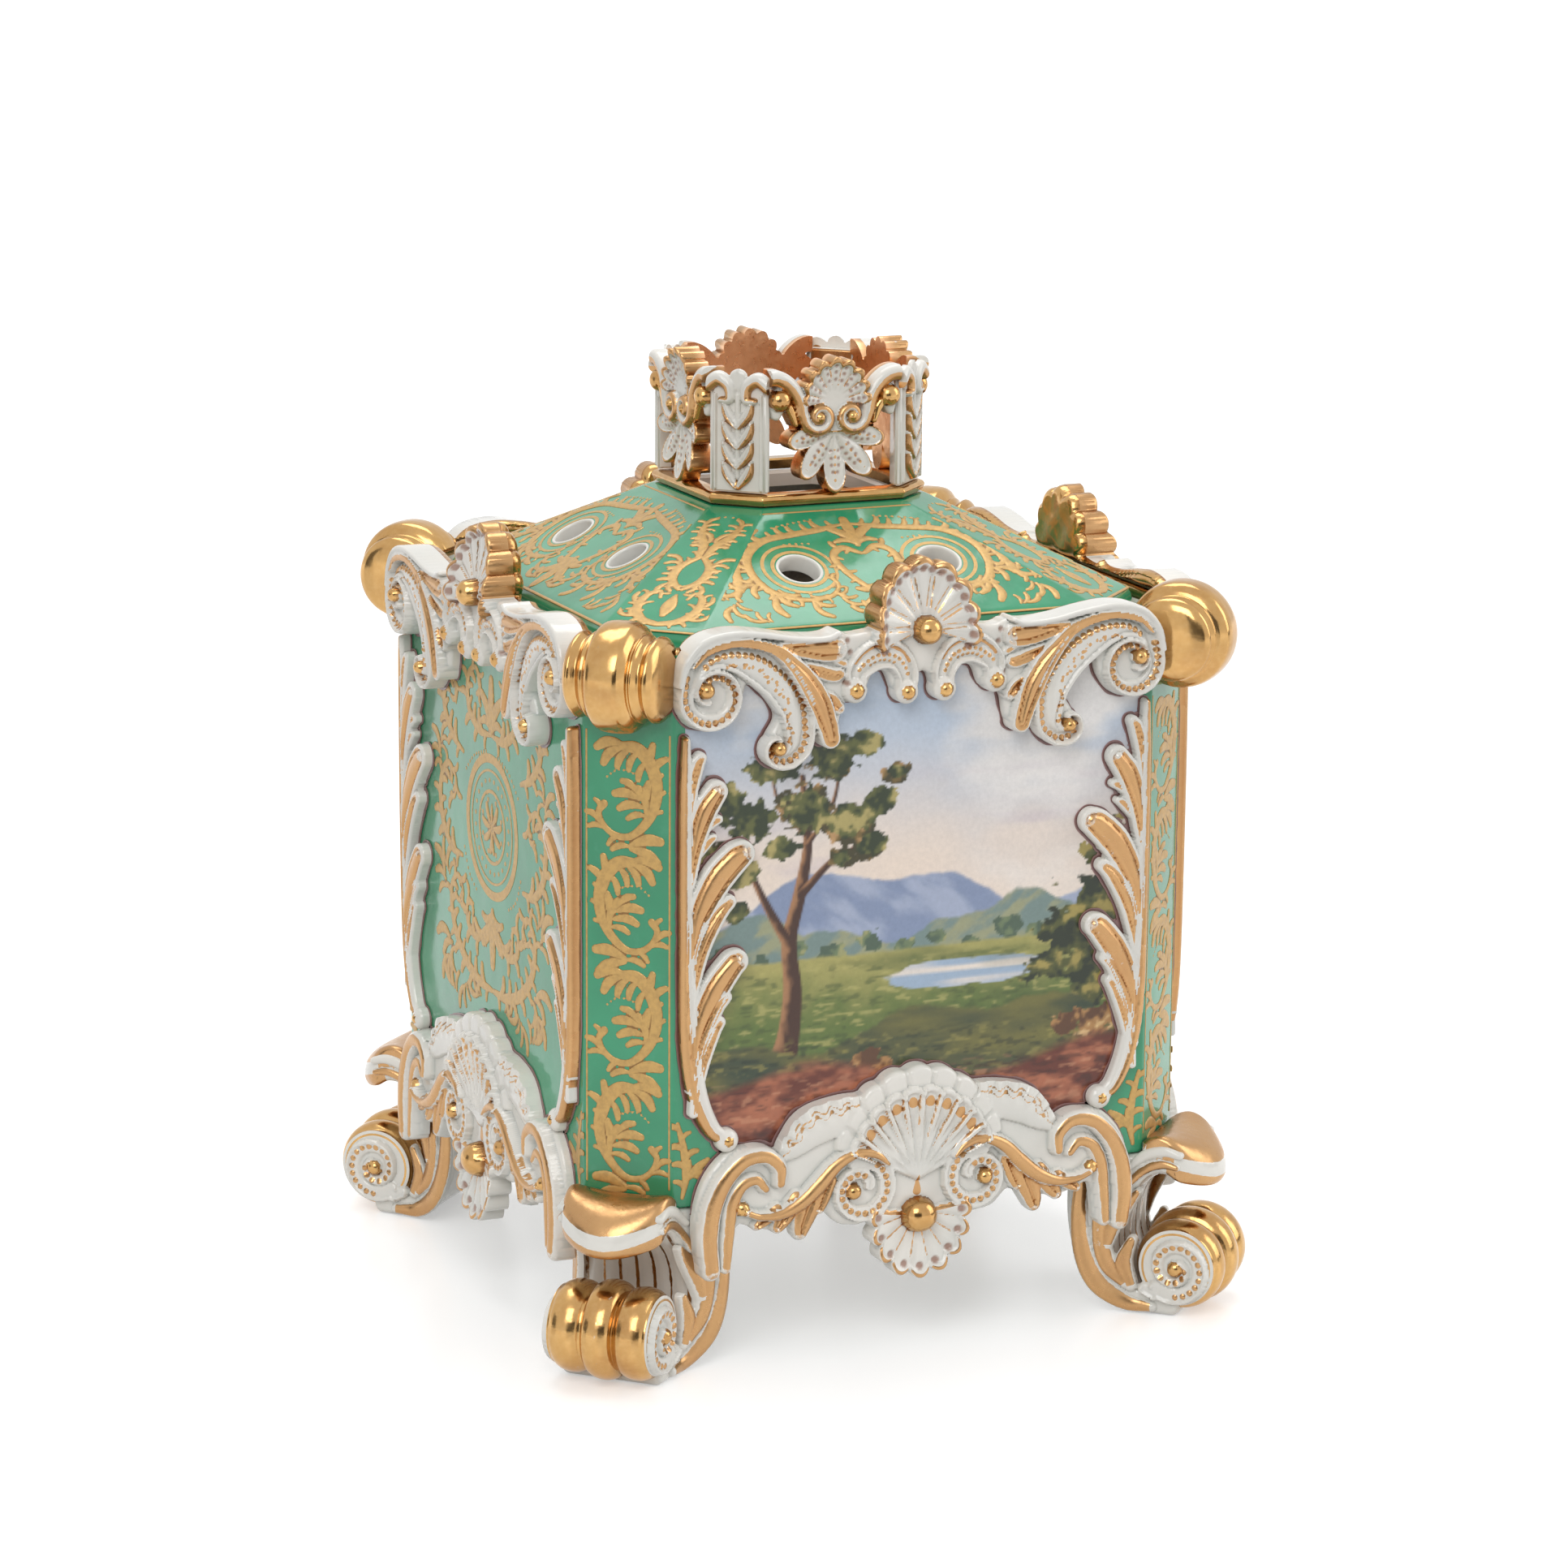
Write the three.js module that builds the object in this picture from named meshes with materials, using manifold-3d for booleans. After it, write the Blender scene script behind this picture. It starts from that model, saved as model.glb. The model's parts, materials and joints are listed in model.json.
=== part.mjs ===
// A porcelain pastille burner: a square case with canted corners on four scroll feet, and a pierced roof
// that lifts off, with an open crown gallery round its throat. Millimetres, +Z up, the origin on the floor
// under the middle of the case. Every moulding is luted to its neighbour, so a joint is a thin even gap.
import * as THREE from "three";
import { mergeVertices } from "three/addons/utils/BufferGeometryUtils.js";
import Module from "manifold-3d";

// Driving dimensions
const JOINT = 0.2; // luting gap between two mouldings
const FACE_HALF = 51.5; // half the width across the painted faces
const CANT = 10.7; // leg of a canted corner
const WALL = 4; // case wall
const WALL_FOOT = 26.8; // underside of the case
const WALL_TOP = 115.4; // top of the rim behind the crests
const RIM = 3.3; // rim thickness above the ledge
const LEDGE_TOP = 113; // ledge that carries the cover
const LEDGE_HEIGHT = 3;
const LEDGE_REACH = 8.7; // from the outer face to the inner edge of the ledge
const FLOOR_THICKNESS = 3.6;

const EAVE_HALF = 46; // roof cover, half the width at the eave
const EAVE_CANT = 12;
const EAVE_THICKNESS = 2.8;
const CROWN_HALF = 18.6; // half the width across the crown gallery
const CROWN_CANT = 6.35;
const CROWN_FOOT = 130.2; // top of the roof
const ROOF_THICKNESS = 3;
const FLANGE_HALF = 42.2; // locating flange inside the ledge
const FLANGE_CANT = 9.6;
const FLANGE_THICKNESS = 2;
const FLANGE_DEPTH = 4.6;
const THROAT_INSET = 3.6; // from the outside of the crown to the open throat
const VENT_RADIUS = 3.5;
const VENT_SPREAD = 12; // from the middle of a facet to a vent
const VENT_DOWN_SLOPE = 16; // from the crown to a vent, along the roof

const CROWN_RING_HEIGHT = 1.8;
const CROWN_WALL = 2.6; // thickness of the gallery
const CROWN_TOP = 151; // top of the gallery posts

const BOLSTER_RADIUS = 8.6; // gilt roll on each canted corner, at its swollen middle
const BOLSTER_OUT = 2.5; // its axis, outside the canted corner
const BOLSTER_HEIGHT = 111.2;
const BOLSTER_HALF_LENGTH = 8.2;

const FOOT_HALF_WIDTH = 8.5;
const ROLL_RADIUS = 7.5; // volute roll at the toe of a foot
const ROLL_OUT = 71.8; // its axis, from the middle of the case
const ROLL_HEIGHT = 9.2;

// Centres of the ornament, across and up a face; those with an x are repeated on the other half
const CREST_VOLUTE = [35.9, 108.2];
const CREST_CURL = [24, 100.1]; // lower curl of the great scroll
const CREST_SMALL_CURL = [3, 108];
const CREST_SHELL = [0, 116.3];
const APRON_FAN = [0, 27];
const APRON_VOLUTE = [10.4, 26.6];
const APRON_PENDANT = [0, 22.6];
const CROWN_SCROLL = [2.7, 144.4];
const CROWN_NUB = [9.5, 147.3];
const CROWN_SHELL = [0, 146.6];
const CROWN_PALMETTE = [0, 142];
const RELIEF_BACKING = 2.6; // depth of the ground that carries the scrolls
const RIM_ROOT = 1; // depth at which a raised rim springs from that ground

const FACE_OUT = FACE_HALF + JOINT; // plane on which the relief of a face lies
const CORNER_OUT = (2 * FACE_HALF - CANT) / Math.SQRT2; // canted corner, from the middle of the case
const DEG = Math.PI / 180;

const wasm = await Module();
wasm.setup();

// Points and lines in the plane of a moulding

const at = (x, y) => new THREE.Vector2(x, y);

function arc(x, y, radius, from, to, steps) {
  return Array.from({ length: steps + 1 }, (_, i) => {
    const angle = (from + ((to - from) * i) / steps) * DEG;
    return at(x + radius * Math.cos(angle), y + radius * Math.sin(angle));
  });
}

// A spiral about (x, y): the radius runs from outer to inner while the angle turns
function spiral(x, y, outer, inner, from, turn, steps) {
  return Array.from({ length: steps + 1 }, (_, i) => {
    const way = i / steps;
    const angle = (from + turn * way) * DEG;
    const radius = outer + (inner - outer) * Math.pow(way, 0.8);
    return at(x + radius * Math.cos(angle), y + radius * Math.sin(angle));
  });
}

function smooth(points, steps) {
  return new THREE.SplineCurve(points).getPoints(steps);
}

const mirrored = (points) => points.map((p) => at(-p.x, p.y)).reverse();

// Both halves of a symmetrical outline, from its right half read bottom to top
function bothSides(half) {
  const inner = half.filter((p) => Math.abs(p.x) > 1e-6);
  return [...half, ...mirrored(inner)];
}

// The outline of a ribbon along a centre line, its half width given by the way along it
function ribbon(line, halfWidth) {
  const last = line.length - 1;
  const edge = (side) =>
    line.map((p, i) => {
      const along = line[Math.min(i + 1, last)].clone().sub(line[Math.max(i - 1, 0)]).normalize();
      const reach = halfWidth(i / last) * side;
      return at(p.x - along.y * reach, p.y + along.x * reach);
    });
  return [...edge(-1), ...edge(1).reverse()];
}

function octagon(half, cant, inset = 0) {
  const side = half - inset;
  const flat = side - (cant - (2 - Math.SQRT2) * inset);
  return [
    at(flat, -side), at(side, -flat), at(side, flat), at(flat, side),
    at(-flat, side), at(-side, flat), at(-side, -flat), at(-flat, -side),
  ];
}

// A raised rim along a line, and its copy on the other half
function rimPair(line, halfWidth, root, front) {
  const rim = ribbon(line, () => halfWidth);
  return [plate(rim, root, front), plate(mirrored(rim), root, front)];
}

// Closed solids

// A solid through outlines of equal length, each at its own depth, capped at both ends
function loft(outlines, depths) {
  const count = outlines[0].length;
  const last = outlines.length - 1;
  const positions = outlines.flatMap((line, i) => line.flatMap((p) => [p.x, p.y, depths[i]]));
  const index = [];
  for (let i = 0; i < last; i++) {
    for (let j = 0; j < count; j++) {
      const next = (j + 1) % count;
      const [a, b] = [i * count + j, i * count + next];
      index.push(a, b, b + count, a, b + count, a + count);
    }
  }
  for (const [a, b, c] of THREE.ShapeUtils.triangulateShape(outlines[0], [])) index.push(a, c, b);
  const top = last * count;
  for (const [a, b, c] of THREE.ShapeUtils.triangulateShape(outlines[last], [])) {
    index.push(top + a, top + b, top + c);
  }
  const geometry = new THREE.BufferGeometry();
  geometry.setAttribute("position", new THREE.Float32BufferAttribute(positions, 3));
  return geometry.setIndex(index);
}

// A flat plate between two depths; every relief is drawn upright, x to the right, y up, depth outward
function plate(outline, back, front) {
  const line = THREE.ShapeUtils.isClockWise(outline) ? [...outline].reverse() : outline;
  return loft([line, line], [back, front]);
}

const prism = (outline, low, high) => loft([outline, outline], [low, high]);

// A fluted fan. Each lobe repeats `lobe`, a list of [fraction of the lobe, share of the reach, height]
function fan({ centre, reach, from, to, flutes, lobe, back, hub }) {
  const [x, y] = centre;
  const rim = [];
  const addPoint = (flute, [fraction, share, height]) => {
    const degrees = from + ((to - from) * (flute + fraction)) / flutes;
    const radius = reach(degrees) * share;
    rim.push([x + radius * Math.cos(degrees * DEG), y + radius * Math.sin(degrees * DEG), height]);
  };
  for (let flute = 0; flute < flutes; flute++) lobe.forEach((point) => addPoint(flute, point));
  addPoint(flutes, lobe[0]);
  const positions = [x, y, hub, x, y, back];
  for (const [px, py, height] of rim) positions.push(px, py, height, px, py, back);
  const index = [];
  for (let i = 0; i + 1 < rim.length; i++) {
    const [a, b] = [2 + 2 * i, 4 + 2 * i];
    index.push(0, a, b, 1, b + 1, a + 1, a, a + 1, b + 1, a, b + 1, b);
  }
  const end = 2 * rim.length;
  index.push(0, 1, 3, 0, 3, 2, end, end + 1, 1, end, 1, 0);
  const geometry = new THREE.BufferGeometry();
  geometry.setAttribute("position", new THREE.Float32BufferAttribute(positions, 3));
  return geometry.setIndex(index);
}

const oval = (spread, rise) => (degrees) =>
  Math.hypot(spread * Math.cos(degrees * DEG), rise * Math.sin(degrees * DEG));

function boss([x, y], radius, depth, height) {
  return new THREE.SphereGeometry(radius, 6, 4).scale(1, 1, height / radius).translate(x, y, depth);
}

function asSolid(geometry) {
  const bare = geometry.clone();
  bare.deleteAttribute("normal");
  bare.deleteAttribute("uv");
  const merged = mergeVertices(bare, 1e-4);
  return new wasm.Manifold(
    new wasm.Mesh({
      numProp: 3,
      vertProperties: new Float32Array(merged.attributes.position.array),
      triVerts: new Uint32Array(merged.index.array),
    }),
  );
}

function asGeometry(solid) {
  const { numProp, vertProperties, triVerts } = solid.getMesh();
  const positions = new Float32Array((vertProperties.length / numProp) * 3);
  for (let i = 0; i < positions.length / 3; i++) {
    positions.set(vertProperties.subarray(i * numProp, i * numProp + 3), i * 3);
  }
  const geometry = new THREE.BufferGeometry();
  geometry.setAttribute("position", new THREE.BufferAttribute(positions, 3));
  geometry.setIndex(new THREE.BufferAttribute(triVerts, 1));
  geometry.computeVertexNormals();
  return geometry;
}

const join = (...parts) => asGeometry(parts.map(asSolid).reduce((all, one) => all.add(one)));

function cut(body, ...tools) {
  return asGeometry(tools.map(asSolid).reduce((left, tool) => left.subtract(tool), asSolid(body)));
}

// Stands a relief up on the front face, its depth pointing out along -Y
const onFront = (geometry, out = FACE_OUT) => geometry.rotateX(90 * DEG).translate(0, -out, 0);

// Materials
const porcelain = new THREE.MeshStandardMaterial({ color: 0xe4e5de, roughness: 0.2, metalness: 0 });
const green = new THREE.MeshStandardMaterial({ color: 0x3f9f73, roughness: 0.25, metalness: 0 });
const gilding = new THREE.MeshStandardMaterial({ color: 0xc99b4c, roughness: 0.3, metalness: 0.9 });

// Case

function caseWalls() {
  const outer = prism(octagon(FACE_HALF, CANT), WALL_FOOT, WALL_TOP);
  const chamber = prism(octagon(FACE_HALF, CANT, WALL), 0, LEDGE_TOP - LEDGE_HEIGHT);
  const mouth = prism(octagon(FACE_HALF, CANT, LEDGE_REACH), 0, CROWN_TOP);
  const rebate = prism(octagon(FACE_HALF, CANT, RIM), LEDGE_TOP, CROWN_TOP);
  return cut(outer, chamber, mouth, rebate);
}

function caseFloor() {
  return prism(octagon(FACE_HALF, CANT, WALL + JOINT), WALL_FOOT, WALL_FOOT + FLOOR_THICKNESS);
}

// Crest along the top of a face: two great volutes, two small scrolls and a shell with its boss

function crestHalfOutline() {
  return [
    at(0, 109.8),
    ...arc(...CREST_SMALL_CURL, 2.1, 205, 345, 2),
    ...arc(7.2, 108.4, 2.2, 150, 30, 2), // open arch under it
    ...arc(11, 107.9, 1.6, 215, 330, 2), // ball at its outer end
    at(12.6, 104.4), at(14.3, 100.6), at(16.6, 99.4), at(18, 104.2), // acanthus tip
    ...arc(...CREST_CURL, 4, 165, 350, 5),
    at(28.2, 105),
    ...arc(...CREST_VOLUTE, 5.9, 205, 360, 5),
    ...smooth([at(41.5, 111.4), at(39, 115.7), at(35.6, 117.6), at(31, 118.5)], 3),
    ...smooth([at(26.4, 117.4), at(21.6, 116), at(18.2, 116.1), at(15, 119.3)], 3), // upper wing
    at(12.4, 116.2), at(9, 116.6), at(0, 119.4),
  ];
}

// Raised rim of the great scroll: out of its volute, over the top and down into the lower curl
function greatScrollRim() {
  return [
    ...spiral(...CREST_VOLUTE, 1.5, 5.1, -330, 315, 6),
    ...smooth([at(40.4, 111.8), at(35.4, 116.6), at(27.6, 115.6), at(22, 109.6), at(20.8, 102.4)], 4),
    ...spiral(...CREST_CURL, 3.2, 1.4, 195, 260, 3),
  ];
}

function smallScrollRim() {
  return [
    ...arc(...CREST_SMALL_CURL, 1.4, 330, 180, 2),
    ...smooth([at(1.6, 111), at(4, 113.8), at(7.4, 114.6), at(10.6, 112.4), at(11.3, 108.6)], 3),
  ];
}

// The back of the crest above the rim of the case, where it shows gilt from behind
function crestComb() {
  const base = WALL_TOP + JOINT;
  const top = crestHalfOutline().filter((p) => p.y > base);
  return plate(bothSides([at(0, base), at(39.4, base), ...top]), JOINT - RIM, RIM_ROOT);
}

// Distance from the middle of a face to the end plane of a bolster, on the plane of the relief
const BOLSTER_MITRE = FACE_OUT - Math.SQRT2 * (BOLSTER_HALF_LENGTH + JOINT);

const cornerMitre = (side) =>
  new THREE.BoxGeometry(20, 60, 60)
    .translate(side * 10, 0, 0)
    .rotateY(side * 45 * DEG)
    .translate(side * BOLSTER_MITRE, BOLSTER_HEIGHT, 0);

function crest() {
  const shell = fan({
    centre: CREST_SHELL, from: -20, to: 200, flutes: 9, reach: oval(8.8, 11.2),
    lobe: [[0, 0.9, 2], [0.5, 1, 3.4]], back: -2.2, hub: 3,
  });
  const leaf = [
    at(21, 114.4), at(17.6, 108), at(16.2, 100.2), at(13.6, 104), at(13.4, 110), at(15.6, 114.8),
  ];
  const relief = join(
    plate(bothSides(crestHalfOutline()), 0, RELIEF_BACKING),
    crestComb(),
    ...rimPair(greatScrollRim(), 0.75, RIM_ROOT, 4.4),
    ...rimPair(smallScrollRim(), 0.75, RIM_ROOT, 3.6),
    plate(leaf, RIM_ROOT, 3.6), plate(mirrored(leaf), RIM_ROOT, 3.6),
    shell, boss(CREST_SHELL, 2.2, 3, 2),
  );
  const rimBehind = new THREE.BoxGeometry(100, 40, 20).translate(0, WALL_TOP + JOINT - 20, -10);
  return onFront(cut(relief, cornerMitre(1), cornerMitre(-1), rimBehind));
}

// Apron along the foot of a face: a fan, two volutes on S-shaped arms, a pendant shell and the corner scrolls

function apronHalfOutline() {
  return [
    ...arc(...APRON_PENDANT, 9.6, -90, -14, 4),
    ...arc(...APRON_VOLUTE, 6.1, -70, -20, 3),
    at(17, 23), at(18.8, 20.6), at(20.4, 19.9), at(21.6, 22.2), // acanthus drop
    at(24.4, 21.4), at(27, 22.4), at(29.8, 23.4), at(31.6, 21),
    at(32.6, 17.2), at(37.2, 17.2), // leg, carried on by the flank of the foot
    ...smooth([at(38.4, 24), at(37.6, 30), at(34.6, 34.2), at(30.6, 35.9), at(26.4, 35.4)], 5),
    at(24.2, 36.8), at(21.4, 38.6), at(19.4, 41.2), at(14.4, 42.2), at(10.4, 42.6), // frilled wing
    at(8.2, 44.6), at(4.4, 46), at(0, 46.6),
  ];
}

function apronArmRim() {
  return [
    ...spiral(...APRON_VOLUTE, 1.7, 5.3, 480, -380, 6),
    ...smooth([at(13.6, 31.6), at(18.4, 28.8), at(22.8, 25), at(28.6, 24.6)], 3),
  ];
}

function cornerScrollRim() {
  return smooth([
    at(23.8, 28.8), at(24.4, 32), at(27.4, 34.2), at(31, 34.8), at(35, 31.8), at(36.6, 26), at(35, 18),
  ], 6);
}

function apron() {
  const shell = fan({
    centre: APRON_FAN, from: 24, to: 156, flutes: 7, reach: oval(14.6, 16.8),
    lobe: [[0, 0.94, 2.2], [0.5, 1, 3.6]], back: 1, hub: 2.4,
  });
  const pendant = fan({
    centre: APRON_PENDANT, from: -190, to: 10, flutes: 7, reach: oval(9, 11),
    lobe: [[0, 0.9, 1.4], [0.5, 1, 2.8]], back: 0, hub: 3.6,
  });
  return onFront(join(
    plate(bothSides(apronHalfOutline()), 0, RELIEF_BACKING),
    ...rimPair(apronArmRim(), 0.85, RIM_ROOT, 4.4),
    ...rimPair(cornerScrollRim(), 0.85, RIM_ROOT, 4),
    shell, pendant, boss(APRON_PENDANT, 2.6, 3, 2.2),
  ));
}

// Acanthus strip up each side of a face. Its tongues rise inward to round ends; a notch parts each from the next

const STRIP_TONGUES = [
  { end: [36.7, 98.6], radius: 0.9, notch: [37.7, 91.4] },
  { end: [34.2, 93.3], radius: 1.8, notch: [37.5, 80] },
  { end: [29.9, 82.7], radius: 2.2, notch: [36.4, 74.6] },
  { end: [31.9, 75.9], radius: 1.1, notch: [37.2, 64] },
  { end: [30.7, 66], radius: 2, notch: [36.2, 60] },
  { end: [32.3, 60.7], radius: 1, notch: [36.4, 57] },
  { end: [33.5, 56.8], radius: 1, notch: [36, 51] },
];

function leafStrip() {
  const tongues = STRIP_TONGUES.flatMap(({ end, radius, notch }) => [
    ...arc(...end, radius, 40, 230, 2),
    at(...notch),
  ]);
  const curl = arc(32.2, 37.4, 1.8, 90, 285, 2);
  const stem = [at(35.9, 45.5), at(34.6, 41.2)];
  return [at(40, 56), at(40, 101.4), at(38.2, 101.6), ...tongues, ...stem, ...curl, at(35, 37), at(38.6, 44)];
}

const stripPlate = (outline) => onFront(plate(outline, 0, 2.2));

// Gilt bolster on each canted corner, notched over the rim of the case

function bolster() {
  const profile = [[0, 1], [0.79, 1], [0.86, 0.8], [0.73, 0.6], [0.92, 0.42], [1, 0.16]];
  const half = profile.map(([share, way]) => at(share * BOLSTER_RADIUS, way * BOLSTER_HALF_LENGTH));
  const whole = [...half.map((p) => at(p.x, -p.y)), ...half.reverse()];
  const roll = new THREE.LatheGeometry(whole, 11)
    .rotateZ(90 * DEG)
    .translate(0, -(CORNER_OUT + BOLSTER_OUT), BOLSTER_HEIGHT);
  const notch = new THREE.BoxGeometry(40, 40, 40)
    .translate(0, 20 - CORNER_OUT - JOINT, WALL_TOP + JOINT - 20);
  return cut(roll, notch);
}

// Scroll foot. Its profile is drawn with x outward from the middle of the case and y up

const FOOT_PROFILE = [
  at(65, 0), at(71.2, 0), at(75.4, 1.4), at(78, 4.8), at(78.4, 8.6), // sole and toe
  at(72, 9.2), at(68.6, 4), at(65.2, 4.4), at(62.8, 6.6), // inside the volute
  at(61.7, 10), at(61.9, 13.5), at(63.4, 16.6), at(66.4, 19.2), // fluted throat
  at(70.3, 20.6), at(74.4, 20.9), at(76.3, 21.8), at(76.9, 23.8), at(75.9, 26.4), // lip
  at(73.6, 28.4), at(70.7, 29.4), at(68, 29.2), at(CORNER_OUT + JOINT, 28.6), // top of the lip
  at(CORNER_OUT + JOINT, WALL_FOOT - JOINT), at(55.2, WALL_FOOT - JOINT), // seat under the case
  at(54, 20), at(54.8, 12.5), at(57.8, 5.2), at(62.8, 1), // back
];

// The foot is wider where it springs from the case, and its lip reaches furthest in the middle
function footSection(way) {
  return FOOT_PROFILE.map((p) => {
    const lip = p.y > 19 && p.x > CORNER_OUT + JOINT ? p.x - CORNER_OUT - JOINT : 0;
    return at(p.x - 0.4 * lip * way * way, p.y + 0.12 * lip * way * way);
  });
}

function footHalfWidth(out) {
  const inward = THREE.MathUtils.smoothstep(66 - out, 0, 11);
  return FOOT_HALF_WIDTH + 4.2 * inward;
}

function foot() {
  const ways = [-1, -0.55, 0, 0.55, 1];
  const strap = loft(ways.map(footSection), ways);
  const position = strap.getAttribute("position");
  for (let i = 0; i < position.count; i++) {
    position.setZ(i, position.getZ(i) * footHalfWidth(position.getX(i)));
  }
  strap.applyMatrix4(new THREE.Matrix4().makeBasis(
    new THREE.Vector3(0, -1, 0), new THREE.Vector3(0, 0, 1), new THREE.Vector3(-1, 0, 0),
  ));
  const profile = [[0, 1], [0.72, 1], [0.88, 0.85], [0.88, 0.62], [0.79, 0.42], [0.95, 0.26], [1, 0]];
  const half = profile.map(([share, way]) => at(share * ROLL_RADIUS, way * FOOT_HALF_WIDTH));
  const whole = [...half.map((p) => at(p.x, -p.y)), ...half.slice(0, -1).reverse()];
  const roll = new THREE.LatheGeometry(whole, 11)
    .rotateZ(90 * DEG)
    .translate(0, -ROLL_OUT, ROLL_HEIGHT);
  return join(strap, roll);
}

// Cover

const SLOPE = Math.atan2(CROWN_FOOT - LEDGE_TOP - EAVE_THICKNESS, EAVE_HALF - CROWN_HALF);

function coverRoof() {
  const foot = LEDGE_TOP + JOINT;
  const eave = octagon(EAVE_HALF, EAVE_CANT);
  const crown = octagon(CROWN_HALF, CROWN_CANT);
  const outside = loft([eave, eave, crown], [foot, foot + EAVE_THICKNESS, CROWN_FOOT]);
  const seat = EAVE_HALF - FLANGE_HALF + FLANGE_THICKNESS; // width of the flat underside
  const drop = ROOF_THICKNESS / Math.cos(SLOPE);
  const shoulder = 1.4; // from the crown's foot in to the head of the hollow
  const insideTop = CROWN_FOOT - drop + shoulder * Math.tan(SLOPE);
  const insideFoot = foot + EAVE_THICKNESS - drop + seat * Math.tan(SLOPE);
  const hollowFoot = octagon(EAVE_HALF, EAVE_CANT, seat);
  const hollowTop = octagon(CROWN_HALF, CROWN_CANT, shoulder);
  const hollow = loft([hollowFoot, hollowFoot, hollowTop], [foot - 1, insideFoot, insideTop]);
  const throat = prism(octagon(CROWN_HALF, CROWN_CANT, THROAT_INSET), foot, CROWN_TOP);
  const vents = [0, 90, 180, 270].flatMap((turn) =>
    [-VENT_SPREAD, VENT_SPREAD].map((x) =>
      new THREE.CylinderGeometry(VENT_RADIUS, VENT_RADIUS, 12, 10)
        .rotateX(90 * DEG + SLOPE)
        .translate(
          x,
          -CROWN_HALF - VENT_DOWN_SLOPE * Math.cos(SLOPE),
          CROWN_FOOT - VENT_DOWN_SLOPE * Math.sin(SLOPE),
        )
        .rotateZ(turn * DEG),
    ),
  );
  return cut(outside, hollow, throat, ...vents);
}

function coverFlange() {
  const ring = prism(octagon(FLANGE_HALF, FLANGE_CANT), LEDGE_TOP - FLANGE_DEPTH, LEDGE_TOP);
  return cut(ring, prism(octagon(FLANGE_HALF, FLANGE_CANT, FLANGE_THICKNESS), 0, CROWN_TOP));
}

function crownRing() {
  const foot = CROWN_FOOT + JOINT;
  const section = (inset) => octagon(CROWN_HALF, CROWN_CANT, inset);
  const swell = foot + 0.45 * CROWN_RING_HEIGHT;
  const ring = loft([section(0.2), section(-0.4), section(0.1)], [foot, swell, foot + CROWN_RING_HEIGHT]);
  return cut(ring, prism(section(THROAT_INSET - 0.2), 0, CROWN_TOP));
}

const GALLERY_FOOT = CROWN_FOOT + CROWN_RING_HEIGHT + 2 * JOINT;
const GALLERY_OUT = CROWN_HALF - 0.3;
const POST_OUT = (2 * GALLERY_OUT - CROWN_CANT) / Math.SQRT2;

// Pilaster on a canted corner of the crown, with a husk of leaves up its face
function crownPost() {
  const half = CROWN_CANT / Math.SQRT2;
  const wrap = 0.7; // how far it turns the corner on to the open faces
  const depth = CROWN_WALL / Math.SQRT2;
  const plan = [
    at(-half - wrap, wrap), at(-half - wrap + depth, wrap + depth),
    at(half + wrap - depth, wrap + depth), at(half + wrap, wrap), at(half, 0), at(-half, 0),
  ].map((p) => at(p.x, p.y - POST_OUT)).reverse();
  const post = prism(plan, GALLERY_FOOT, CROWN_TOP);
  const husk = [at(0, 133.4), at(1.6, 135.2)];
  for (let row = 0; row < 4; row++) husk.push(at(2.7, 138.2 + 3.3 * row), at(1.5, 138.4 + 3.3 * row));
  husk.push(at(1.2, CROWN_TOP));
  const leaves = plate(bothSides([...husk, at(0, CROWN_TOP + 0.6)]), -0.6, 0.9);
  return join(post, onFront(leaves, POST_OUT));
}

// Open panel between two posts: a pair of scrolls, a palmette under them and a shell above

function crownHalfOutline() {
  return [
    at(0, 141.4),
    ...arc(...CROWN_SCROLL, 3.1, 260, 335, 2),
    at(7.4, 145),
    ...arc(...CROWN_NUB, 1.8, 225, 320, 2),
    at(10.7, 147.6), at(10.7, 150.7), at(8.4, CROWN_TOP),
    at(5.4, 149.2), at(3.6, 150.4), at(0, CROWN_TOP),
  ];
}

function crownPanel() {
  const shell = fan({
    centre: CROWN_SHELL, from: -4, to: 184, flutes: 7, reach: oval(6, 7.4),
    lobe: [[0, 0.88, 0.4], [0.5, 1, 1.2]], back: -1.8, hub: 0.2,
  });
  const palmette = fan({
    centre: CROWN_PALMETTE, from: -188, to: 8, flutes: 5, reach: oval(8.4, CROWN_PALMETTE[1] - GALLERY_FOOT),
    lobe: [[0, 0.58, 0], [0.3, 0.93, 0.3], [0.6, 0.97, 0.9]], back: -2, hub: 1,
  });
  const rim = [
    ...spiral(...CROWN_SCROLL, 0.8, 2.5, -40, 330, 6),
    ...smooth([at(5.8, 143.6), at(7.6, 146.6), at(10.4, 148.4)], 2),
  ];
  const scrolls = plate(bothSides(crownHalfOutline()), -CROWN_WALL, 0);
  return onFront(join(scrolls, palmette, shell, ...rimPair(rim, 0.55, -1, 0.9)), GALLERY_OUT);
}

// Assembly

const SIDES = ["front", "right", "back", "left"];
const CORNERS = ["front_right", "back_right", "back_left", "front_left"];
const burner = new THREE.Group();

function add(group, name, geometry, material, turn = 0) {
  const mesh = new THREE.Mesh(geometry, material);
  mesh.name = name;
  mesh.rotation.z = turn * DEG;
  group.add(mesh);
}

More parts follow.
